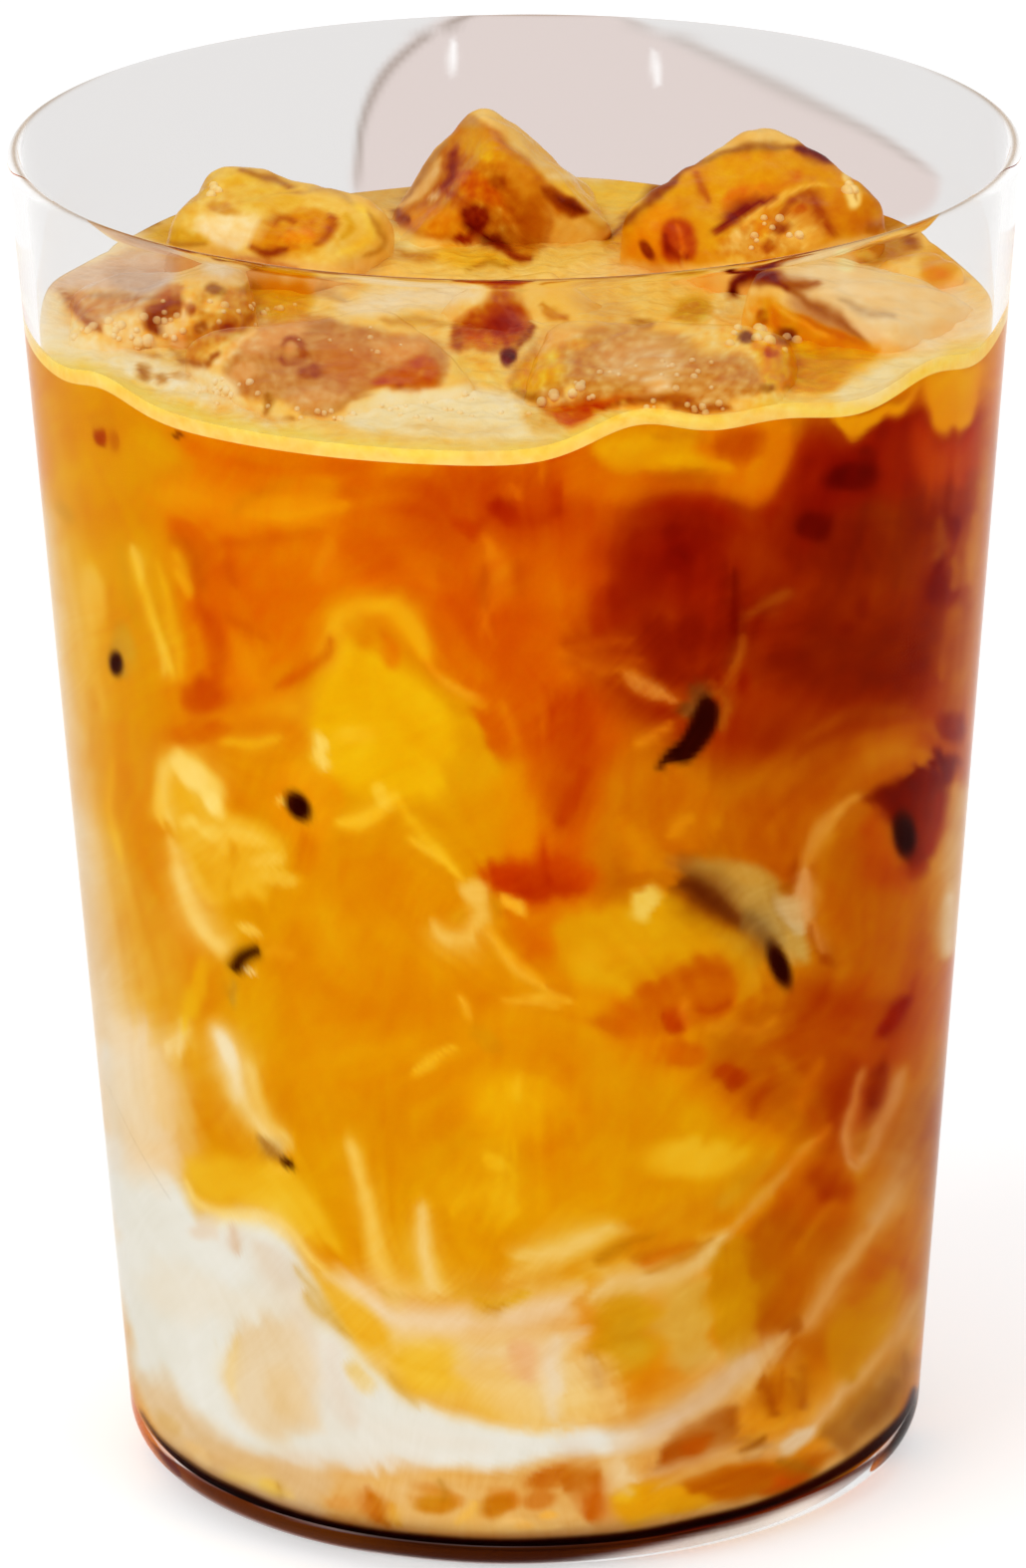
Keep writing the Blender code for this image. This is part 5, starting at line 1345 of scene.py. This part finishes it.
class Finish:
    """A material under construction."""

    def __init__(self, name, **shader):
        self.material = bpy.data.materials.new(name)
        self.material.use_nodes = True
        self.tree = self.material.node_tree
        self.shader = self.tree.nodes["Principled BSDF"]
        for socket, value in shader.items():
            self.shader.inputs[socket.replace("_", " ")].default_value = value

    def node(self, kind, settings=(), links=(), out=0):
        """A node with its settings and then its sockets; out is the socket that it gives."""
        node = self.tree.nodes.new("ShaderNode" + kind)
        for name, value in dict(settings).items():
            setattr(node, name, value)
        for socket, value in dict(links).items():
            place = node.inputs[socket]
            if isinstance(value, Wire):
                self.tree.links.new(value.socket, place)
            else:
                place.default_value = value
        return Wire(self.tree, node.outputs[out])

    def feed(self, socket, wire):
        self.tree.links.new(wire.socket, self.shader.inputs[socket])

    def attribute(self, name, out="Color"):
        return self.node("Attribute", {"attribute_name": name}, out=out)

    def place(self):
        return self.node("TexCoord", out="Object")

    def noise(self, where, scale, detail=3.0, roughness=0.55, warp=0.0):
        return self.node("TexNoise", links={"Vector": where, "Scale": scale, "Detail": detail,
                                            "Roughness": roughness, "Distortion": warp})

    def toned(self, colour, tone):
        """Deeper and redder as tone rises over 1, paler and yellower as it falls under 1."""
        return self.node("Gamma", links={"Color": colour, "Gamma": tone})

    def bump(self, height, strength, distance):
        self.feed("Normal", self.node("Bump", links={"Height": height, "Strength": strength,
                                                     "Distance": distance}))


FREE_PASSES = 2                  # after so many surfaces light goes straight on and isn't caught


def clear_glass():
    """Thin glass with a grey tint and a brown line of painted shade on its lip. Light passes it without a
    hard shadow.
    """
    glass = Finish("clear_glass", Roughness=0.0, IOR=1.05, Transmission_Weight=1.0)
    glass.feed("Base Color", glass.attribute("paint"))
    shadow = glass.node("LightPath", out="Is Shadow Ray")
    depth = glass.node("LightPath", out="Ray Depth")
    trapped = glass.node("Math", {"operation": "GREATER_THAN"}, {0: depth, 1: FREE_PASSES})
    free = glass.node("Math", {"operation": "MAXIMUM"}, {0: shadow, 1: trapped})
    body = Wire(glass.tree, glass.shader.outputs[0])
    either = glass.node("MixShader", links={0: free, 1: body, 2: glass.node("BsdfTransparent")})
    output = glass.tree.nodes["Material Output"]
    glass.tree.links.new(either.socket, output.inputs["Surface"])
    return glass.material


THREAD_STRETCH = (16.0, 2.6)     # how often the fine threads repeat across and along the flow
SWIRL_STRETCH = (6.0, 1.6)


def marbled(name, roughness):
    """Milk and coffee that have run into each other, with fine threads along the flow."""
    drink = Finish(name, Roughness=roughness, IOR=1.34, Specular_IOR_Level=0.0)
    paint = drink.attribute("paint")
    across = drink.attribute("across", out="Fac")
    along = drink.attribute("along", out="Fac")
    fine, broad = (drink.node("CombineXYZ", links={"X": across * often, "Y": along * seldom})
                   for often, seldom in (THREAD_STRETCH, SWIRL_STRETCH))
    fine_threads = drink.noise(fine, 1.0, 3.0, 0.6)
    swirls = drink.noise(broad, 1.0, 2.0, 0.5)
    tone = 1.0 + 0.25 * (fine_threads - 0.5) + 0.2 * (swirls - 0.5)
    drink.feed("Base Color", drink.toned(paint, tone))
    return drink.material


def frothy():
    """Crema: a pale skin of fine bubbles."""
    froth = Finish("crema_cream", Roughness=0.42, Specular_IOR_Level=0.05)
    where = froth.place()
    paint = froth.attribute("paint")
    cells = froth.node("TexVoronoi", {"feature": "F1"}, {"Vector": where, "Scale": 900.0})
    cloud = froth.noise(where, 420.0, 4.0, 0.6)
    tone = 0.76 + 0.3 * cloud + 0.3 * (1.0 - cells)
    froth.feed("Base Color", froth.toned(paint, tone))
    froth.bump(cells * 0.5 + cloud, 0.5, 0.0004)
    return froth.material


def melting_ice():
    """Ice that coffee has run over: wet and glossy."""
    ice = Finish("melting_ice", Roughness=0.24, IOR=1.31, Specular_IOR_Level=0.08)
    where = ice.place()
    paint = ice.attribute("paint")
    cloud = ice.noise(where, 500.0, 4.0, 0.6, 0.6)
    ice.feed("Base Color", ice.toned(paint, 0.9 + 0.5 * cloud))
    ice.bump(ice.noise(where, 520.0, 3.0, 0.5), 0.35, 0.0004)
    return ice.material


# Shapes

def piece(name, shape, finish, slot, *nodes):
    """An object from a bmesh, that rides with the glass and stands for its solids."""
    mesh = bpy.data.meshes.new(name)
    shape.to_mesh(mesh)
    shape.free()
    made = bpy.data.objects.new(name, mesh)
    bpy.context.scene.collection.objects.link(made)
    mesh.materials.append(finish)
    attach(made, "root")
    if nodes:
        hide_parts(*nodes)
    return made


def smoothed(mesh, angle=50):
    mesh.shade_smooth()
    mesh.set_sharp_from_angle(angle=math.radians(angle))


def put(mesh, co):
    mesh.vertices.foreach_set("co", co.astype(np.float32).ravel())
    mesh.update()
    smoothed(mesh)


def give_colour(mesh, canvas):
    """Store colours from 0 to 255 on the points, as light."""
    light = (np.clip(canvas, 0, 255) / 255.0) ** 2.2
    layer = mesh.color_attributes.new("paint", "FLOAT_COLOR", "POINT")
    opaque = np.column_stack([light, np.ones(len(light))])
    layer.data.foreach_set("color", opaque.astype(np.float32).ravel())


def give_value(mesh, name, values):
    layer = mesh.attributes.new(name, "FLOAT", "POINT")
    layer.data.foreach_set("value", values.astype(np.float32))


def spun(profile, stages):
    """A closed body turned about Z from (radius, height) points, top to bottom.

    Each stage is a number of degrees and the steps that it takes, beginning at the back.
    """
    shape = bmesh.new()
    ring = [shape.verts.new((0.0, radius, height)) for radius, height in profile]
    line = [shape.edges.new(pair) for pair in zip(ring[:-1], ring[1:])]
    geometry = ring + line
    for degrees, steps in stages:
        turned = bmesh.ops.spin(shape, geom=geometry, cent=(0, 0, 0), axis=(0, 0, 1),
                                angle=math.radians(degrees), steps=steps, use_merge=False)
        geometry = turned["geom_last"]
    bmesh.ops.remove_doubles(shape, verts=shape.verts[:], dist=1e-7)
    bmesh.ops.recalc_face_normals(shape, faces=shape.faces[:])
    return shape


def arc(centre, radius, start, end, steps):
    angles = [math.radians(start + (end - start) * i / steps) for i in range(steps + 1)]
    return [(centre[0] + radius * math.cos(a), centre[1] + radius * math.sin(a)) for a in angles]


GLASS_STEPS = 500
FREE_ROWS = 36                   # rows of points on the empty part of the wall
INNER_HEEL_STEPS = 16
LIP_STEPS = 24
OUTER_HEEL_STEPS = 20
GLASS_FRONT = (240, 239, 238)
GLASS_BACK = (217, 215, 214)
GLASS_TURN = 0.25                # half the width of the change between them, as a share of the rim's radius
# A brown line painted on the lip as shade, for the dark that the lip's curve shows
LIP_BROWN = (128, 100, 74)
LIP_LINE = 0.26 * MM
LIP_SHADE_SIDES = 0.85               # how strong the lip's painted shade is, from 0 to 1
LIP_SHADE_FRONT = 0.8
LIP_SHADE_MARK = 0.9
LIP_MARK = 2.0 * MM              # the middle and half width of a darker mark in the lip's painted shade, at the back
LIP_MARK_HALF = 5.0 * MM
FOOT_TOP = 4.2 * MM
FOOT_PALING = 0.85               # under 1, the shade painted on the foot's glass is paler than the shade painted on the drink

# A darker, pinkish arch inside the wall at the back, darker along its sides, and two painted highlights on
# it
BACK_ARCH_AND_HIGHLIGHTS = (
    (patch, (211, 198, 194), 1.0, 7, 364, 200, 362, 140, 376, 84, 412, 40, 466, 14, 600, 12, 660, 34,
     740, 70, 830, 112, 900, 146, 944, 184, 900, 224, 700, 230, 500, 230),
    (streak, (160, 146, 138), 0.8, 9, 359, 200, 362, 132, 380, 84, 408, 52, 446, 26, 490, 10),
    (streak, (184, 172, 166), 0.75, 14, 610, 14, 680, 40, 750, 72, 820, 106, 880, 136, 950, 182),
    # Two painted highlights
    (streak, (252, 251, 250), 0.9, 7, 455, 38, 453, 78),
    (streak, (252, 251, 250), 0.9, 7, 657, 48, 660, 88),
)


def paint_foot_shade_and_light(canvas, x, y):
    """The painted shade round the foot and its pale strip of painted light, over the glass's own colour."""
    brown = paint(np.full(canvas.shape, 255.0), x, y, FOOT_SHADE_AND_LIGHT)
    return canvas * (np.clip(brown, 0, 255) / 255) ** FOOT_PALING


def tumbler(finish):
    lip = WALL / 2
    outer_heel = (HEEL_RADIUS - HEEL_ROUND, HEEL_ROUND)
    heel_top = FLOOR + INNER_HEEL_ROUND
    inner_heel = (outer_radius(heel_top) - WALL - INNER_HEEL_ROUND, heel_top)
    ring_inside = outer_heel[0] - FOOT_RING
    free = [LEVEL - CLIMB + (HEIGHT - LEVEL + CLIMB - WALL) * share for share in shares(FREE_ROWS)]
    profile = [(0.0, FLOOR)] + arc(inner_heel, INNER_HEEL_ROUND, -90, 0, INNER_HEEL_STEPS)
    profile += [(outer_radius(z) - WALL, z) for z in free]
    profile += arc((RIM_RADIUS - lip, HEIGHT - lip), lip, 180, 0, LIP_STEPS)
    profile += [(outer_radius(z), z) for z in reversed(free)]
    profile += arc(outer_heel, HEEL_ROUND, 0, -90, OUTER_HEEL_STEPS)
    profile += [(ring_inside, 0.0), (ring_inside - PUSH_UP * 0.5, PUSH_UP * 0.4)]
    profile += [(ring_inside - PUSH_UP, PUSH_UP * 0.7), (ring_inside * 0.5, PUSH_UP), (0.0, PUSH_UP)]
    made = piece("tumbler", spun(profile, ((360, GLASS_STEPS),)), finish, "clear_glass", "glass")
    smoothed(made.data)
    tint_glass(made.data)


def tint_glass(mesh):
    """A grey tint, a darker arch inside at the back with two painted highlights, a brown line of painted
    shade on the lip, and painted shade and light at the foot.
    """
    co = np.zeros(3 * len(mesh.vertices), np.float32)
    mesh.vertices.foreach_get("co", co)
    co = co.reshape(-1, 3).astype(float)
    x, y = in_picture(co)
    turned_back = smoothstep(-GLASS_TURN, GLASS_TURN, co[:, 1] / RIM_RADIUS)[:, None]
    canvas = np.array(GLASS_FRONT, float) * (1 - turned_back) + np.array(GLASS_BACK, float) * turned_back
    # The darker arch at the back, and its two painted highlights
    behind = (co[:, 1] > 0) & (co[:, 2] > LEVEL - CLIMB)
    back_arch = canvas[behind]
    paint(back_arch, x[behind], y[behind], BACK_ARCH_AND_HIGHLIGHTS)
    canvas[behind] = back_arch
    # Painted shade on the lip: a brown line, strongest at the sides, in front and at a mark at the back
    crest = RIM_RADIUS - WALL / 2
    off = np.hypot(co[:, 0], co[:, 1]) - crest
    on_lip = (co[:, 2] > HEIGHT - WALL / 2) * np.exp(-(off / LIP_LINE) ** 2)
    round_side = np.abs(co[:, 0]) / crest
    in_front = smoothstep(-0.1, 0.3, -co[:, 1] / crest)
    lip_shade = np.maximum(LIP_SHADE_SIDES * smoothstep(0.78, 0.99, round_side), LIP_SHADE_FRONT * in_front)
    mark = (co[:, 1] > 0) * np.exp(-((co[:, 0] - LIP_MARK) / LIP_MARK_HALF) ** 2)
    lip_shade = np.maximum(lip_shade, LIP_SHADE_MARK * mark)
    share = (on_lip * lip_shade)[:, None]
    canvas = canvas * (1 - share) + np.array(LIP_BROWN, float) * share
    # Painted shade round the foot, and its pale strip of painted light
    foot = co[:, 2] < FOOT_TOP
    canvas[foot] = paint_foot_shade_and_light(canvas[foot], x[foot], y[foot])
    give_colour(mesh, canvas)


def shares(count):
    return [i / count for i in range(1, count)]


SETTLING = 8                     # rounds in which a point's radius and height come to fit each other


def poured(floor, surface, across, rows, stages):
    """A body of drink between two uneven faces: a unit drum whose points go to their places."""
    profile = [(share, 1.0) for share in across] + [(1.0, share) for share in reversed(shares(rows))]
    profile += [(share, 0.0) for share in reversed(across)]
    shape = spun(profile, stages)
    co = np.array([vertex.co for vertex in shape.verts])
    share_out = np.hypot(co[:, 0], co[:, 1])
    angle = np.arctan2(co[:, 1], co[:, 0])
    height = LEVEL * co[:, 2]
    for _ in range(SETTLING):
        radius = share_out * (inner_radius(height) + INTO_WALL)
        x, y = radius * np.cos(angle), radius * np.sin(angle)
        low, high = floor(x, y), surface(x, y)
        height = low + (high - low) * co[:, 2]
    return shape, np.column_stack([x, y, height]), share_out


WALL_STAGES = ((95, 64), (170, 300), (95, 64))  # degrees and steps: finer at the front
CREMA_STAGES = ((95, 64), (170, 220), (95, 64))
CREMA_RINGS = 70
CREMA_ROWS = 5
CREMA_WAVES = 0.35 * MM          # how high the froth's waves are
BENDING = 1.055                  # the glass's index for rays that come down at the camera's pitch
THICKNESS = 1.03                 # outer radius over the drink's radius
LIFT = 0.36 * MM                 # how much higher on the glass a point of the drink shows
BACK_DROP = 170.0                # how far the back's copy of the picture is moved down, in pixels
BACK_CALM = 24 * MM              # the height under which it drifts less
BACK_DRIFT = 90                  # how far it drifts, in pixels
PIXELS_PER_MM = 9
FLOW_WANDER = (60.0, 260.0, 41)  # how far the flow wanders and its pitch in pixels, and its seed
FLOW_WAY = (0.8, 0.6)            # which way the drink runs in the picture
COFFEE_ROWS = 196
MILK_ROWS = 64


def seen_on_wall(co):
    """Where the picture shows points of the drink's side, with the back as a mirrored, drifting copy."""
    on_glass = np.radians(np.linspace(0.0, 90.0, 181))
    bent = np.arcsin(np.sin(on_glass) / BENDING)
    on_drink = np.degrees(on_glass + np.arcsin(np.sin(on_glass) * THICKNESS / BENDING) - bent)
    angle = np.degrees(np.arctan2(co[:, 0], -co[:, 1]))
    edge = on_drink[-1]
    behind = np.clip((np.abs(angle) - edge) / (180.0 - edge), 0.0, 1.0)
    turn = np.interp(np.minimum(np.abs(angle), edge * (1 - behind)), on_drink, on_glass) * np.sign(angle)
    lift = co[:, 2] + LIFT
    radius = outer_radius(lift)
    points = np.column_stack([radius * np.sin(turn), -radius * np.cos(turn), lift])
    x, y = in_picture(points)
    drift = np.minimum(3 * behind, 1.0)
    across = co[:, 0] / MM * PIXELS_PER_MM
    up = co[:, 2] / MM * PIXELS_PER_MM
    x = x + drift * BACK_DRIFT * fractal(across, up, 300, 2, 71)
    drop = BACK_DROP * np.sin(math.pi * np.clip(co[:, 2] / LEVEL, 0.0, 1.0))
    loose = BACK_DRIFT * smoothstep(0.0, BACK_CALM, co[:, 2])
    y = y + drift * (-drop + loose * fractal(across, up, 260, 2, 81))
    return x, y


def paint_wall(mesh, co, picture):
    x, y = seen_on_wall(co)
    give_colour(mesh, look(picture, x, y))
    flow_x, flow_y = wandering(x, y, *FLOW_WANDER)
    give_value(mesh, "across", (FLOW_WAY[0] * flow_x + FLOW_WAY[1] * flow_y) / 100.0)
    give_value(mesh, "along", (FLOW_WAY[1] * flow_x - FLOW_WAY[0] * flow_y) / 100.0)


def marbled_drink(picture):
    rows_across = (0.0, 0.4, 0.7, 0.85, 0.93, 0.97, 1.0)
    for name, floor, surface, rows, roughness, slot in (
            ("coffee", milk_top, crema_bottom, COFFEE_ROWS, 0.3, "coffee_amber"),
            ("milk", milk_bottom, milk_top, MILK_ROWS, 0.35, "milk_white")):
        shape, co, _ = poured(floor, surface, rows_across, rows, WALL_STAGES)
        made = piece("marbled_" + name, shape, marbled(slot, roughness), slot, name)
        put(made.data, co)
        paint_wall(made.data, co, picture)


def crema_skin(finish, tops):
    across = [0.0, 0.1] + [0.1 + 0.9 * i / CREMA_RINGS for i in range(1, CREMA_RINGS + 1)]
    shape, co, share_out = poured(crema_bottom, crema_top, across, CREMA_ROWS, CREMA_STAGES)
    made = piece("crema_skin", shape, finish, "crema_cream", "crema")
    inner = np.clip((1 - share_out) * 12, 0, 1)
    froth = fractal(co[:, 0] / MM, co[:, 1] / MM, 3.0, 4, 91)
    top = co[:, 2] > crema_top(co[:, 0], co[:, 1]) - 0.1 * MM
    co[:, 2] += np.where(top, froth * CREMA_WAVES * inner, 0.0)
    put(made.data, co)
    x, y = in_picture(co)
    give_colour(made.data, look(tops, x, y, TOPS_GRID))
    return made


def wear(number):
    """Four seeded waves that melting has left in block number: direction, pitch and phase."""
    draw = random.Random(WEAR_SEED + number)
    waves = []
    for _ in range(WAVES):
        direction = Vector([draw.uniform(-1, 1) for _ in range(3)]).normalized()
        waves.append((np.array(direction) * draw.uniform(*WAVE_PITCH), draw.uniform(0, 2 * math.pi)))
    return waves


ICE_GRID = 64                    # cuts across each face of a block
ICE_DENTS = 0.22 * MM
DENT_PITCH = 5.0                 # in millimetres


def dents(first, second, number, seed):
    """Small dents over a block, from noise in two of its directions."""
    return fractal(first / MM + 40 * number, second / MM, DENT_PITCH, 3, seed + number)


def ice_block(number, finish, tops):
    """A melting block: a box with rounded edges and dished, uneven faces."""
    name, middle, half, rounding, (tilt_x, tilt_y, spin) = ICE[number]
    size = np.array(half) * MM
    pull_in = 1.0 - (math.sqrt(2) - 1) * rounding / (math.sqrt(2) * min(half))
    power = -math.log(2) / math.log(pull_in)
    shape = bmesh.new()
    bmesh.ops.create_cube(shape, size=2.0)
    bmesh.ops.subdivide_edges(shape, edges=shape.edges[:], cuts=ICE_GRID, use_grid_fill=True)
    cube = np.array([vertex.co for vertex in shape.verts])
    spread = np.sign(cube) * np.abs(cube) ** EDGE_CROWD
    reach = (np.abs(spread) ** power).sum(axis=1) ** (1 / power)
    place = spread / reach[:, None] * size
    wave_sum = sum(np.sin(place @ wave + phase) for wave, phase in wear(number)) / WAVES
    outwards = place / np.linalg.norm(place, axis=1)[:, None]
    dented = dents(place[:, 0], place[:, 1] + 0.7 * place[:, 2], number, 120)
    dented += dents(place[:, 2], place[:, 0] - 0.7 * place[:, 1], number, 140)
    place += outwards * (MELT * (wave_sum - MELT_BIAS) + ICE_DENTS * dented)[:, None]
    turned = (Matrix.Rotation(math.radians(tilt_x), 3, "X") @ Matrix.Rotation(math.radians(tilt_y), 3, "Y")
              @ Matrix.Rotation(math.radians(spin), 3, "Z"))
    co = place @ np.array(turned).T + np.array(middle) * MM
    made = piece("melting_" + name, shape, finish, "melting_ice", name)
    put(made.data, co)
    x, y = in_picture(co)
    give_colour(made.data, look(tops, x, y, TOPS_GRID))
    return made


# Froth bubbles: the middle and the reach of each cluster in the picture's pixels, how many there
# are, and the largest radius in millimetres
BUBBLES = (
    ((112, 334), (44, 14), 18, 0.5),
    ((146, 342), (8, 8), 4, 0.6),
    ((222, 392), (30, 14), 14, 0.45),
    ((170, 320), (16, 22), 8, 0.45),
    ((212, 192), (12, 4), 4, 0.5),
    ((762, 338), (36, 12), 10, 0.65),
    ((574, 396), (26, 9), 8, 0.5),
    ((330, 416), (50, 8), 12, 0.35),
    ((650, 376), (70, 22), 18, 0.35),
    ((852, 190), (7, 12), 3, 0.7),
    ((440, 412), (80, 14), 16, 0.35),
    ((250, 312), (50, 16), 14, 0.42),
    ((780, 236), (30, 14), 10, 0.45),
    ((700, 410), (60, 6), 10, 0.35),
    ((360, 350), (80, 24), 8, 0.3),
)
BUBBLE_SEED = 77
BUBBLE_SPREAD = 0.5              # how far they scatter, as a share of their cluster's reach
BUBBLE_SMALLEST = 0.45           # the smallest, as a share of the largest
BUBBLE_SIDES = 10
BUBBLE_RINGS = 6
BUBBLE_CREAM = (254, 228, 176)
BUBBLE_TINT = 0.55               # how much of the cream there is over the colour under the bubble


def bubbles(finish, tops, carriers):
    """Small bubbles, half sunk in the ice and the crema where the picture shows froth."""
    depsgraph = bpy.context.evaluated_depsgraph_get()
    trees = [BVHTree.FromObject(carrier, depsgraph) for carrier in carriers]
    axes = camera_axes()
    pixels = LENS / SENSOR * PICTURE[1]
    draw = random.Random(BUBBLE_SEED)
    shape = bmesh.new()
    for middle, reach, count, largest in BUBBLES:
        for _ in range(count):
            x = middle[0] + reach[0] * draw.gauss(0.0, BUBBLE_SPREAD)
            y = middle[1] + reach[1] * draw.gauss(0.0, BUBBLE_SPREAD)
            radius = largest * MM * draw.uniform(BUBBLE_SMALLEST, 1.0)
            way = axes @ Vector(((x - PICTURE[0] / 2) / pixels, (PICTURE[1] / 2 - y) / pixels, -1.0))
            hits = [tree.ray_cast(CAMERA_PLACE, way.normalized()) for tree in trees]
            hits = [hit for hit in hits if hit[0] is not None]
            if not hits:
                continue
            place = min(hits, key=lambda hit: hit[3])[0]
            if place.xy.length + radius < inner_radius(place.z):
                bmesh.ops.create_uvsphere(shape, u_segments=BUBBLE_SIDES, v_segments=BUBBLE_RINGS,
                                          radius=radius, matrix=Matrix.Translation(place))
    co = np.array([vertex.co for vertex in shape.verts])
    made = piece("froth_bubbles", shape, finish, "crema_cream")
    smoothed(made.data)
    x, y = in_picture(co)
    under = look(tops, x, y, TOPS_GRID)
    give_colour(made.data, under + (np.array(BUBBLE_CREAM) - under) * BUBBLE_TINT)


# The stage

def backdrop():
    """A pale floor, lit a little from below as a light table is."""
    shape = bmesh.new()
    bmesh.ops.create_grid(shape, x_segments=1, y_segments=1, size=3.0)
    mesh = bpy.data.meshes.new("floor")
    shape.to_mesh(mesh)
    shape.free()
    floor = bpy.data.objects.new("floor", mesh)
    bpy.context.scene.collection.objects.link(floor)
    pale = Finish("pale_floor", Base_Color=(0.82, 0.82, 0.82, 1), Roughness=0.8, Specular_IOR_Level=0.1,
                  Emission_Color=(1, 1, 1, 1), Emission_Strength=0.38)
    mesh.materials.append(pale.material)


def soft_light(name, place, size, power, aim=(0, 0, 0.06), colour=(1, 1, 1)):
    lamp = bpy.data.lights.new(name, "AREA")
    lamp.shape = "RECTANGLE"
    lamp.size, lamp.size_y = size
    lamp.energy = power
    lamp.color = colour
    made = bpy.data.objects.new(name, lamp)
    made.location = place
    made.rotation_euler = (Vector(aim) - Vector(place)).to_track_quat("-Z", "Y").to_euler()
    bpy.context.scene.collection.objects.link(made)


def studio():
    world = bpy.data.worlds.new("studio")
    world.use_nodes = True
    world.node_tree.nodes["Background"].inputs[0].default_value = (1, 1, 1, 1)
    world.node_tree.nodes["Background"].inputs[1].default_value = 0.7
    bpy.context.scene.world = world
    bpy.context.scene.view_settings.view_transform = "Standard"
    soft_light("window", (-1.0, -0.9, 1.6), (1.2, 1.2), 12)
    soft_light("fill", (1.3, -1.2, 1.0), (1.0, 1.0), 5)
    soft_light("back", (0.3, 1.4, 1.2), (1.2, 0.6), 1.5)


def camera():
    lens = bpy.data.cameras.new("camera")
    lens.lens = LENS
    lens.sensor_width = SENSOR
    lens.clip_start = 0.05
    lens.clip_end = 20
    made = bpy.data.objects.new("camera", lens)
    made.matrix_world = Matrix.Translation(CAMERA_PLACE) @ camera_axes().to_4x4()
    bpy.context.scene.collection.objects.link(made)
    bpy.context.scene.camera = made


def main():
    camera()
    backdrop()
    studio()
    picture = wall_picture(PICTURE)
    tumbler(clear_glass())
    marbled_drink(picture)
    tops = tops_picture(PICTURE)
    froth, wet = frothy(), melting_ice()
    carriers = [crema_skin(froth, tops)]
    carriers += [ice_block(number, wet, tops) for number in range(len(ICE))]
    bubbles(froth, tops, carriers)


main()
